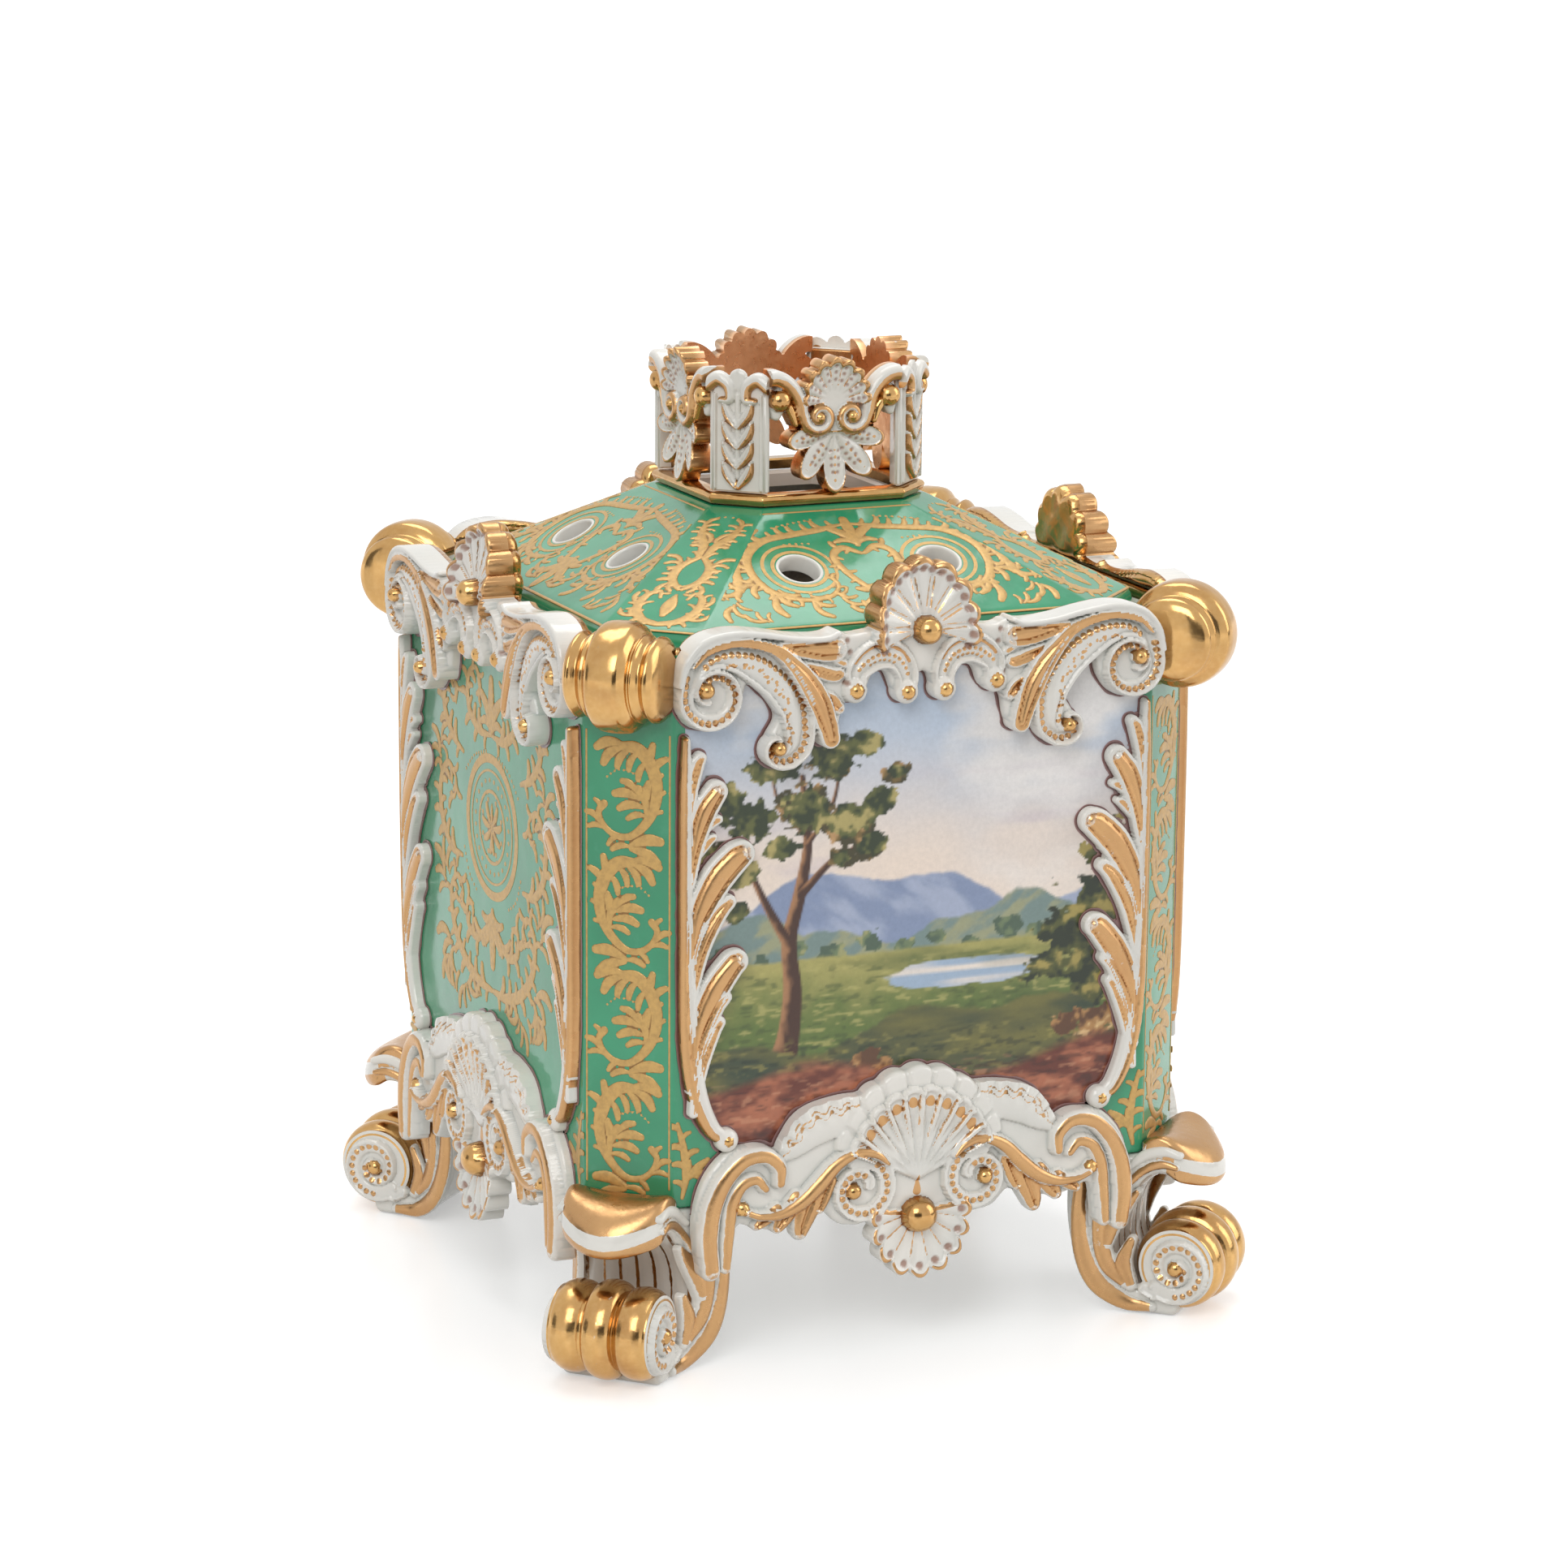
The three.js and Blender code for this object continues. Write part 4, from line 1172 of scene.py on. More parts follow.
def octagonal_ring(rows, fillet=1.2, **values):
    """A closed ring through octagons, each row its half width, cant and height; values are given by row."""
    rings = [octagon(half, cant, fillet) for half, cant, _ in rows]
    count = len(rings[0])
    points = [(*p, row[2]) for ring, row in zip(rings, rows) for p in ring]
    made = Mesh(points, quads(len(rows), count))
    for key, by_row in values.items():
        made.values[key] = np.repeat(by_row, count).astype(float)
    return made


# Bolsters

BOLSTER_HALF = 8.2
BOLSTER_AXIS = (CORNER_OUT + 2.5, 111.2)  # out from the middle of the case, and up


def build_bolsters():
    end = [
        (0, 0), (0.2, 3), (0.6, 5.2), (1.2, 6.3), (1.9, 6.7), (2.5, 6.3), (3.0, 6.0), (3.5, 6.3), (4.0, 6.8),
        (4.5, 6.7),
    ]
    rows = [(a - BOLSTER_HALF, r) for a, r in end] + [(-3.4, 7.3), (-2.5, 8.3), (-1.3, 8.6), (0, 8.65)]
    rows += [(-a, r) for a, r in rows[-2::-1]]
    roll = revolve(curved(rows, 5), 56)
    roll.values["gilt"][:] = -FAR
    behind = CORNER_OUT - 2.6  # inside the wall

    def seat(p):
        p = p + (0, -BOLSTER_AXIS[0], BOLSTER_AXIS[1])
        sunk = (p[:, 1] > -behind) & (p[:, 2] < WALL_HIGH[2])
        p[sunk, 1] = -behind
        return p

    seated = roll.moved(seat)
    build_round("gilt_bolster", seated, "case", "bolster", CORNERS, MATERIALS.gilding, sharp=60)


build_bolsters()


# Feet

FOOT_HALF = 8.5
ROLL = (71.8, 8.4)  # axis of the roll: out and up
ROLL_RADIUS = 7.9
FOOT_FRONT = [  # sole, toe and the hollow behind the roll, then up the throat and round the lip
    (64.6, 0.1), (67.4, 0), (70, 0), (71.6, 0.2), (72.4, 1.4), (72.4, 4), (71.4, 8.4), (68.4, 4.6),
    (65.4, 4.2), (62.9, 6.6), (61.7, 10), (61.7, 14), (62.7, 17.8), (65.2, 21), (68.4, 22.8), (71.6, 22.7),
    (74.4, 21.3), (76.1, 21.1), (77, 22.7), (76.4, 25.3), (74.2, 27.7), (71, 29.2), (68, 29.4), (65.5, 28.7),
]
FOOT_BACK = [(65.5, 26.7), (60, 26.7), (55.2, 26.6), (54.1, 20), (54.8, 12.5), (57.8, 5.2), (62, 1.3)]


def foot_width(out):
    return FOOT_HALF + 4.2 * ease(66 - out, 0, 11)


def foot_strap():
    """The scroll of a foot, swept across its width; its throat is fluted, and its lip juts out and droops in
    the middle."""
    line = np.vstack([curved(FOOT_FRONT, 7), curved(FOOT_BACK, 5)])
    following = np.roll(line, -1, axis=0) - np.roll(line, 1, axis=0)
    normal = np.column_stack([following[:, 1], -following[:, 0]])
    normal /= np.linalg.norm(normal, axis=1)[:, None]
    out, up = line.T
    way = lengths(line)

    def mark(x, y):
        return way[np.argmin(np.hypot(out - x, up - y))]

    lip_foot, lip_edge, lip_top, seat = mark(72.6, 22.3), mark(77, 23), mark(76.6, 24.7), mark(65.5, 28.7)
    throat_low, throat_high = mark(62.9, 6.6), mark(69.6, 22.8)
    flute = ease(way, throat_low, throat_low + 4) * (1 - ease(way, throat_high - 3, throat_high))
    dome = np.maximum(lip_top + 0.4 - way, way - seat)
    edge = np.maximum(lip_foot - 0.2 - way, way - lip_edge + 0.4)
    lip = np.where((up > 19) & (out > CORNER_OUT), out - CORNER_OUT, 0)
    ways = np.sin(np.linspace(-1, 1, 33) * np.pi / 2)
    points, gilt = [], []
    for v in ways:
        section = np.column_stack([out - 0.4 * lip * v * v, up + 0.19 * lip * v * v])
        rounding = 1 - bell(np.clip((abs(v) - 0.84) / 0.16, 0, 1))
        groove = np.abs(np.sin(v * 3.5 * np.pi))
        section -= normal * (rounding + 0.45 * flute * (1 - groove))[:, None]
        across = v * foot_width(section[:, 0])
        points.append(np.column_stack([across, -section[:, 0], np.maximum(section[:, 1], 0)]))
        to_groove = np.abs((v * 3.5 + 0.5) % 1 - 0.5) / 3.5 * FOOT_HALF
        strokes = np.where(flute > 0.5, to_groove - 0.24, FAR)
        gilt.append(np.minimum.reduce([strokes, dome, edge]))
    count = len(line)
    cap = filled(dict(enumerate(line)), [(j, (j + 1) % count) for j in range(count)])
    last = (len(ways) - 1) * count
    ends = [face[::-1] for face in cap] + [[j + last for j in face] for face in cap]
    mesh = Mesh(np.vstack(points), quads(len(ways), count, ring=False) + ends)
    mesh.values["gilt"] = np.concatenate(gilt)
    return mesh


def foot_roll():
    """The three-lobed roll in the curl of a foot."""
    ways = np.linspace(-1, 1, 73)
    aside = [0.74 + 0.19 * bell((ways - middle) / 0.31) for middle in (0.64, -0.64)]
    lobes = np.maximum.reduce([0.80 + 0.20 * bell(ways / 0.30), *aside])
    end = bell(np.clip((np.abs(ways) - 0.93) / 0.08, 0, 1))
    radius = ROLL_RADIUS * np.where(np.abs(ways) > 0.93, np.minimum(lobes, 0.6 + 0.26 * end), lobes)
    roll = revolve([(-FOOT_HALF, 0), *zip(ways * FOOT_HALF, radius), (FOOT_HALF, 0)], 60)
    roll.values["gilt"][:] = -FAR
    return roll.moved(lambda p: p + (0, -ROLL[0], ROLL[1]))


def flank_relief():
    """Mouldings on the side of a foot, drawn with x outward from the middle of the case and y up."""
    r = Relief(52.5, 79.5, 0, 30.5)
    low = 0.1
    r.ribbons([
        [(57.4, 26, 1.1), (56.5, 18, 1.3), (57.1, 11, 1.5), (59.4, 5.4, 1.6), (63.6, 1.9, 1.4),
         (68, 1.4, 0.9)],
        [(61.6, 25.4, 0.8), (60, 19, 1.2), (59.8, 13, 1.3), (61, 8.2, 1.3), (63.6, 5, 0.9)],
        [(65.2, 20.6, 0.6), (63.4, 18.2, 1.2), (61.6, 15, 1.3), (60.8, 11.6, 0.8)],
        [(64.4, 12.4, 0.8), (63.2, 8.6, 1.3), (64.4, 4.6, 1.0)],
    ], rounded(low, 0.9), core(0.22, 0.2))
    under_lip = [(71.6, 25.3, 0.6), (69.2, 25.6, 0.8), (66.4, 24.5, 0.8), (63.9, 22, 0.7), (62.1, 18.8, 0.5)]
    r.ribbon(under_lip, rounded(low, 0.8), core(0.15, 0.1))
    r.ribbon([(72, 27.2, 0.6), (69.4, 27.7, 0.9), (66.2, 26.7, 0.9), (63.6, 24.4, 0.6)], rounded(low, 0.6))
    disc = np.vstack([
        spline([(66.6, 4.4, 1.0), (68.6, 3.7, 1.3)])[:-1],
        spiral(ROLL, 4.9, 1.2, -128, 540, 1.5, 0.6, 50, 1.2),
    ])
    r.dome(ROLL, 6.3, 0.0, 0.3, FAR)
    r.ribbon(disc, lambda m: 0.3 + 0.5 * quarter(m.inset, 0.5) + 0.4 * bell((m.from_right - 0.4) / 0.4))
    r.beads(disc[10:-4], 1.35, 0.5, 0.3)
    r.dome(ROLL, 1.3, 0.7, 1.1)
    return r


def build_feet():
    flank = relief_mesh(flank_relief(), -0.6)
    right = flank.moved(lambda p: np.column_stack([foot_width(p[:, 0]) + p[:, 2] - 0.15, -p[:, 0], p[:, 1]]))
    whole = foot_strap().added(foot_roll(), right, right.flipped())
    build_round("scroll_foot", whole, "case", "foot", CORNERS)


build_feet()


# Case shell

WALL = 4  # thickness of the walls
RIM = 3.3  # width of the rim above the ledge
LEDGE_REACH = 8.7  # from the face of the wall to the inner edge of the ledge
LEDGE = (110, 113)  # heights of its underside and its top


def build_case():
    """The walls, their rows going up the outside, over the rim and down the inside."""
    low, high = WALL_LOW[2], WALL_HIGH[2]
    profile = [
        (WALL, low), (0.8, low), (0.25, low + 0.2), (0, low + 0.8),
        *[(0, z) for z in np.linspace(low + 6, high - 6, 6)],
        (0, high - 0.9), (0.3, high - 0.3), (1, high), (RIM - 0.8, high), (RIM - 0.2, high - 0.3),
        (RIM, high - 0.9), (RIM, LEDGE[1]), (LEDGE_REACH - 0.4, LEDGE[1]), (LEDGE_REACH, LEDGE[1] - 0.4),
        (LEDGE_REACH, LEDGE[0]), (WALL, LEDGE[0]), (WALL, 70), (WALL, 31),
    ]
    rows = [inset_row(FACE_HALF, CANT, *row) for row in profile]
    white = [0] * 12 + [1] * (len(rows) - 12)
    gilt = [FAR] * 10 + [0.3] + [-1] * 5 + [1] * (len(rows) - 16)
    mesh = octagonal_ring(rows, white=white, gilt=gilt)
    build("case_shell", mesh, MATERIALS.green, "case", ["case_walls"], sharp=40)


build_case()


def dress_carried_nodes():
    """The floor and the flange keep their solids and take the porcelain's material."""
    for name in ("case_floor", "cover_flange"):
        data = bpy.data.objects[name].data
        data.materials.clear()
        data.materials.append(MATERIALS.porcelain)


dress_carried_nodes()


# Painted landscape on the front

PANEL_HALF = [(38.9, 112), (38.9, 60), (38.4, 54), (37.2, 45), (35, 39.8), (33, 37.6), (32.6, 34)]


def linear(shown):
    """A colour given as it shows on a screen, in linear light."""
    return (np.array(shown) / 255) ** 2.2


def over(below, above, amount):
    amount = np.clip(amount, 0, 1)[:, None]
    return below * (1 - amount) + above * amount


def shaded(dark, light, amount):
    """Colours at every point between two that are given as they show on a screen."""
    return over(np.ones((len(amount), 3)) * linear(dark), linear(light), amount)


def blobs(x, y, centres):
    """Soft union of discs given as x, y and radius: about 1 inside and 0 outside."""
    return np.max([1.5 - np.hypot(x - cx, (y - cy) * 1.3) / radius for cx, cy, radius in centres], axis=0)


def foliage(picture, x, y, centres, seed, dark, middle, light):
    """Leaves in clumps, lit from the upper left and stippled."""
    ragged = blobs(x, y, centres) + 1.3 * (cloudy(x * 0.8, y * 1.2, 3.6, seed) - 0.5)
    ragged = ragged + 0.9 * (cloudy(x, y * 1.2, 1.2, seed + 7, 2) - 0.5)
    lit = cloudy(x + 0.7, y - 0.9, 4.2, seed + 3) - cloudy(x - 0.7, y + 0.9, 4.2, seed + 3)
    stipple = waves(x, y, 0.75, seed + 5) - 0.5
    shade = 0.46 + 2.0 * lit + 0.55 * stipple + 0.25 * (cloudy(x, y, 1.6, seed + 9, 2) - 0.5)
    leaves = over(shaded(dark, middle, ease(shade, 0.25, 0.6)), linear(light), ease(shade, 0.66, 0.95))
    return over(picture, leaves, ease(ragged, 0.44, 0.54))


def limb(picture, x, y, points, dark, light):
    """A trunk or branch through points of x, y and half width, lit on its left."""
    line = spline(points, 5)
    edge, side = np.full(len(x), FAR), np.zeros(len(x))
    for a, b in zip(line[:-1], line[1:]):
        step = (b - a)[:2]
        t = np.clip(((x - a[0]) * step[0] + (y - a[1]) * step[1]) / (step @ step), 0, 1)
        dx, dy = x - a[0] - t * step[0], y - a[1] - t * step[1]
        wide = a[2] + (b[2] - a[2]) * t
        off = np.hypot(dx, dy) - wide
        side = np.where(off < edge, dx / wide, side)
        edge = np.minimum(edge, off)
    lit = ease(-side + 0.9 * (cloudy(x, y * 0.5, 0.9, 77, 2) - 0.5), -0.1, 0.9)
    return over(picture, shaded(dark, light, lit), ease(-edge, -0.15, 0.2))


def tufts(picture, x, y, low, high, seed, light, dark):
    """Short strokes of grass and earth, longer than high."""
    strokes = waves(x * 0.55, y * 1.9, 1.3, seed) + 0.5 * waves(x * 0.8, y * 2.4, 0.8, seed + 1)
    band = ease(y, low, low + 3) * (1 - ease(y, high - 3, high))
    picture = over(picture, linear(light), ease(strokes, 0.95, 1.2) * band * 0.5)
    return over(picture, linear(dark), ease(0.6 - strokes, 0, 0.25) * band * 0.6)


def sky_and_hills(x, y, fine, streaks):
    broad = cloudy(x, y * 1.7, 20, 11)
    picture = shaded((242, 224, 208), (190, 204, 222), ease(y + 16 * broad, 78, 112))
    clouds = ease(broad + 0.3 * streaks, 0.54, 0.82) * ease(y, 64, 84)
    picture = over(picture, linear((246, 240, 234)), clouds * 0.8)
    haze = ease(streaks, 0.6, 0.85) * ease(y, 70, 78) * ease(100 - y, 0, 14)
    picture = over(picture, linear((198, 186, 198)), haze * 0.4)
    far = 74 + 3.6 * np.sin(x * 0.09 + 2.4) + 1.4 * np.sin(x * 0.24) + 1.4 * fine
    slopes = shaded((168, 178, 202), (136, 150, 180), ease(cloudy(x + y, y, 6, 19), 0.4, 0.65))
    picture = over(picture, slopes, ease(far - y, -0.2, 0.5))
    near = 68.6 + 2.6 * np.sin(x * 0.13 - 0.9) + 1.0 * np.sin(x * 0.41) + 1.8 * fine
    slopes = shaded((122, 142, 138), (158, 160, 128), ease(cloudy(x - y, y, 4, 37), 0.4, 0.65))
    return over(picture, slopes, ease(near - y, -0.2, 0.4))


def meadow_and_lake(picture, x, y, fine, streaks):
    hedge = [(-38 + 6 * k, 66 + 0.9 * math.sin(3 * k), 1.9 + 0.5 * math.cos(5 * k)) for k in range(14)]
    picture = foliage(picture, x, y, hedge, 91, (82, 100, 84), (112, 128, 96), (160, 160, 114))
    meadow = shaded((174, 166, 102), (98, 116, 62), ease(65 - y + 7 * (fine - 0.3), 0, 13))
    meadow = over(meadow, linear((78, 96, 56)), ease(streaks, 0.48, 0.7) * 0.65)
    picture = over(picture, meadow, ease(64.6 + 0.9 * fine - y, -0.2, 0.4))
    picture = tufts(picture, x, y, 48, 65, 61, (196, 186, 118), (74, 88, 52))
    shore = (x - 10) ** 2 / 15**2 + (y - 60.4) ** 2 / 2.3**2 + 0.9 * (cloudy(x, y * 2, 5, 43) - 0.5)
    still = shaded((162, 182, 204), (238, 226, 214), ease(waves(x * 0.25, y * 2.2, 2.2, 47), 0.35, 0.8))
    banks = ease(waves(x * 0.6, y * 0.8, 4, 48) - 0.2 * (62 - y), 0.5, 0.9)
    still = over(still, linear((104, 118, 104)), banks * 0.6)
    return over(picture, still, ease(1 - shore, -0.05, 0.12))


BUSHES = (
    (34, 71, 6.5), (28, 65.5, 5.4), (23.5, 59.4, 3.8), (36, 60, 7), (30.5, 56.8, 4.6), (37, 79, 5),
    (32, 77, 3.4),
)
LIMBS = (
    ((-23.4, 46, 3.0), (-21.6, 52, 2.0), (-20.8, 60, 1.6), (-21.4, 68, 1.3), (-19.6, 76, 1.1),
     (-18.4, 84, 0.8), (-19.4, 94, 0.5)),
    ((-21.2, 67, 1.0), (-25, 73.6, 0.7), (-28.2, 80, 0.5), (-31, 86, 0.3)),
    ((-19.8, 75, 0.8), (-14.6, 80, 0.55), (-10.6, 82, 0.4), (-7.4, 86, 0.25)),
    ((-18.6, 83, 0.5), (-14.4, 89, 0.4), (-13, 95, 0.25)),
    ((-19, 85, 0.5), (-23.4, 90.6, 0.35), (-24.6, 96, 0.2)),
)
TREETOP = (
    (-19, 89, 4.2), (-27.6, 87.6, 4.4), (-11.5, 86, 3.6), (-24, 96, 4.4), (-14.4, 96.6, 4), (-33, 91.4, 4.4),
    (-33.4, 82.4, 3.4), (-6.2, 89.4, 3), (-18.4, 102, 4), (-29, 79.6, 2.8), (-8, 82.4, 2.4), (-23.2, 83, 2.8),
    (-3.4, 93.6, 2), (-8.6, 98.6, 2.6), (-12.4, 80.6, 1.8), (-36, 74, 3.4), (-30.4, 73.6, 2),
)
ROCKS = ((27, 50.4, 2.6), (31.4, 49.2, 3.2), (35, 51, 2.6), (-8, 47.8, 1.9), (-5, 46.8, 1.4))


def landscape(x, y):
    """A quiet lake valley: a tall tree on the left, hills, water and bushes, and a bank of red earth."""
    fine = cloudy(x, y, 3.2, 23)
    streaks = cloudy(x * 0.4, y * 1.9, 8, 31)
    picture = meadow_and_lake(sky_and_hills(x, y, fine, streaks), x, y, fine, streaks)
    picture = foliage(picture, x, y, BUSHES, 53, (46, 54, 40), (86, 90, 52), (166, 150, 86))
    for points in LIMBS:
        picture = limb(picture, x, y, points, (72, 48, 38), (170, 124, 88))
    picture = foliage(picture, x, y, TREETOP[::2], 66, (70, 66, 44), (120, 100, 60), (190, 150, 104))
    picture = foliage(picture, x, y, TREETOP, 67, (52, 62, 42), (98, 102, 60), (178, 164, 106))
    bank = 52 + 2.6 * np.sin(x * 0.085 + 0.6) + 1.5 * np.sin(x * 0.23 + 2) + 1.8 * fine
    grass = shaded((60, 72, 56), (116, 112, 64), ease(streaks, 0.35, 0.7))
    picture = over(picture, grass, ease(bank - y, -0.3, 0.6))
    picture = tufts(picture, x, y, 40, 53, 71, (158, 148, 84), (42, 52, 42))
    picture = foliage(picture, x, y, ROCKS, 83, (96, 66, 46), (176, 132, 84), (230, 196, 140))
    earth = 44.8 + 2.4 * np.sin(x * 0.12 + 3.6) + 2.4 * streaks
    ground = shaded((104, 54, 42), (176, 108, 80), ease(cloudy(x * 0.6, y * 1.4, 3, 29), 0.35, 0.68))
    picture = over(picture, ground, ease(earth - y, -0.6, 1.4))
    return tufts(picture, x, y, 33, 47, 97, (206, 146, 112), (66, 40, 34))


def build_front_panel():
    r = Relief(-40, 40, 33, 113, 0.3)
    right = np.array(PANEL_HALF)
    r.polygon(np.vstack([right, (right * (-1, 1))[::-1]]), lambda m: LINE_HEIGHT)
    flat = relief_mesh(r, -LINE_HEIGHT)
    paint = landscape(flat.points[:, 0], flat.points[:, 1])
    build("front_panel", on_face(flat, FACE_HALF), MATERIALS.painting, "case", colours=paint)


build_front_panel()


# Gilding painted on the green: foliage scrolls as thin plates


def thin(m):
    return 0.02 + 0.12 * quarter(m.inset, 0.6)


def lobe(r, root, heading, length, curl, stout=0.2):
    """A round-ended leaf that sets out at heading and curls over by curl degrees."""
    x, y = root
    line = [(x, y, 0.55 * stout * length)]
    for bend, share in ((0.1, 0.9), (0.5, 1.05), (1.0, 0.8)):
        angle = (heading + curl * bend) * DEG
        x, y = x + length * math.cos(angle) / 3, y + length * math.sin(angle) / 3
        line.append((x, y, share * stout * length))
    r.ribbon(spline(line, 4), thin, all_gilt)


def leaflets(r, line, spacing, size, side):
    """Lobes that spring from a stem; side is 1 for its left, -1 for its right, 0 for both in turn."""
    way = lengths(line)
    for i, s in enumerate(np.arange(0.9, way[-1] - 0.4, spacing)):
        j = min(int(np.searchsorted(way, s)), len(line) - 2)
        along = line[j + 1] - line[j]
        turned = side if side else (1 if i % 2 else -1)
        heading = math.atan2(along[1], along[0]) / DEG + turned * 26
        length = size * (1 - 0.3 * s / way[-1]) * (0.8 + 0.4 * abs(math.sin(1.3 * i)))
        lobe(r, line[j, :2], heading, length, turned * 60)


def palmette(r, x, y, heading, size, count=5, spread=140):
    """Leaves that fan out of one root, the middle one longest and the others curling away from it."""
    for share in np.linspace(-1, 1, count):
        length = size * (1 - 0.4 * abs(share) ** 1.5)
        lobe(r, (x, y), heading + 0.26 * spread * share, length, 0.5 * spread * share, 0.15)


def tuft(r, x, y, heading, size, turn):
    """Half an acanthus leaf: three lobes down one side of its tip, each shorter and turned further; turn is
    1 or -1."""
    ahead = (math.cos(heading * DEG), math.sin(heading * DEG))
    for i in range(3):
        root = (x - 0.2 * size * i * ahead[0], y - 0.2 * size * i * ahead[1])
        lobe(r, root, heading + turn * (2 + 30 * i), size * (1 - 0.16 * i), turn * 58, 0.15)


def dots(r, line, spacing, radius):
    for place in places(line, spacing):
        r.dome(place, radius, 0.02, 0.045)


def hoops(r, x, y, rings):
    """Gilt rings round a point, given as radius and half width."""
    off = np.hypot(r.x - x, r.y - y)
    for radius, half in rings:
        r.lay(np.abs(off - radius) - half, 0.05, -FAR)


def rule(r, left, right, y, half):
    """A level gilt line."""
    r.ribbon(np.array([(left, y, half), (right, y, half)]), thin, all_gilt)


def stem(r, points, spacing, length, side=0):
    line = spline([(x, y, 0.85 * wide) for x, y, wide in points], 8)
    r.ribbon(line, thin, all_gilt)
    leaflets(r, line, spacing, length, side)


def acanthus_unit(r, low, high, side):
    """One of the alternating scrolls up a canted corner; side is 1 where its back is on the right."""
    tall = high - low

    def line(points):
        return spline([(x * side, low + y * tall, half) for x, y, half in points], 7)

    r.ribbons([line(points) for points in (
        [(-1.1, 0.93, 0.8), (1.5, 0.92, 1.05), (3.7, 0.79, 1.15), (4.8, 0.58, 1.05), (4.3, 0.37, 0.9),
         (2.6, 0.2, 0.75), (0.2, 0.09, 0.6), (-2.4, 0.1, 0.55), (-4.2, 0.19, 0.5), (-4.9, 0.3, 0.55),
         (-4, 0.38, 0.65)],
        [(3.2, 0.24, 0.4), (3, 0.42, 0.7), (1.7, 0.54, 0.8)],
    )], thin, all_gilt)
    for x, y, heading, length, curl in (
        (-0.8, 0.94, 160, 4.6, 50), (-0.8, 0.92, 192, 4.4, 50), (0.2, 0.91, 214, 3.6, 40),
        (1.6, 0.88, 220, 3.2, 40), (3, 0.8, 226, 3.2, 36), (3.7, 0.74, 92, 3.8, -16), (4, 0.7, 66, 3.4, -36),
        (4.6, 0.56, 92, 2.6, -50), (4.5, 0.42, 78, 2.6, -50), (3.5, 0.27, 60, 2.6, -50),
        (4.1, 0.62, 238, 2.7, 30), (1.6, 0.5, 118, 3.3, 50), (1.9, 0.46, 156, 4.2, 34),
        (2.3, 0.38, 166, 3.9, 40), (2.8, 0.3, 172, 3, 40), (3.2, 0.4, 104, 3.6, -34),
        (-4.7, 0.2, 118, 2.9, 50), (-4, 0.15, 150, 2.6, 50), (-4.6, 0.3, 84, 2.3, 60),
        (-1.4, 0.09, 196, 2.5, 40), (0.6, 0.01, 30, 5, -34), (0.6, -0.02, -8, 4.8, -30), (0.2, 0, 172, 3, 40),
    ):
        turned = heading if side > 0 else 180 - heading
        lobe(r, (x * side, low + y * tall), turned, length, curl * side, 0.185)
    dots(r, line([(-3.8, 0.62, 1), (-1.6, 0.71, 1), (1.4, 0.68, 1)]), 0.8, 0.2)


def corner_gilding():
    r = Relief(-7.4, 7.4, 27.5, 102.4, 0.18)
    for low, high, side in ((84.2, 101, 1), (66.2, 82.8, -1), (48.2, 64.8, 1), (29.6, 46.8, -1)):
        acanthus_unit(r, low, high, side)
    for x in (-6.95, 6.95):
        r.ribbon(np.array([(x, 30, 0.16), (x, 102, 0.16)]), thin, all_gilt)
    return r


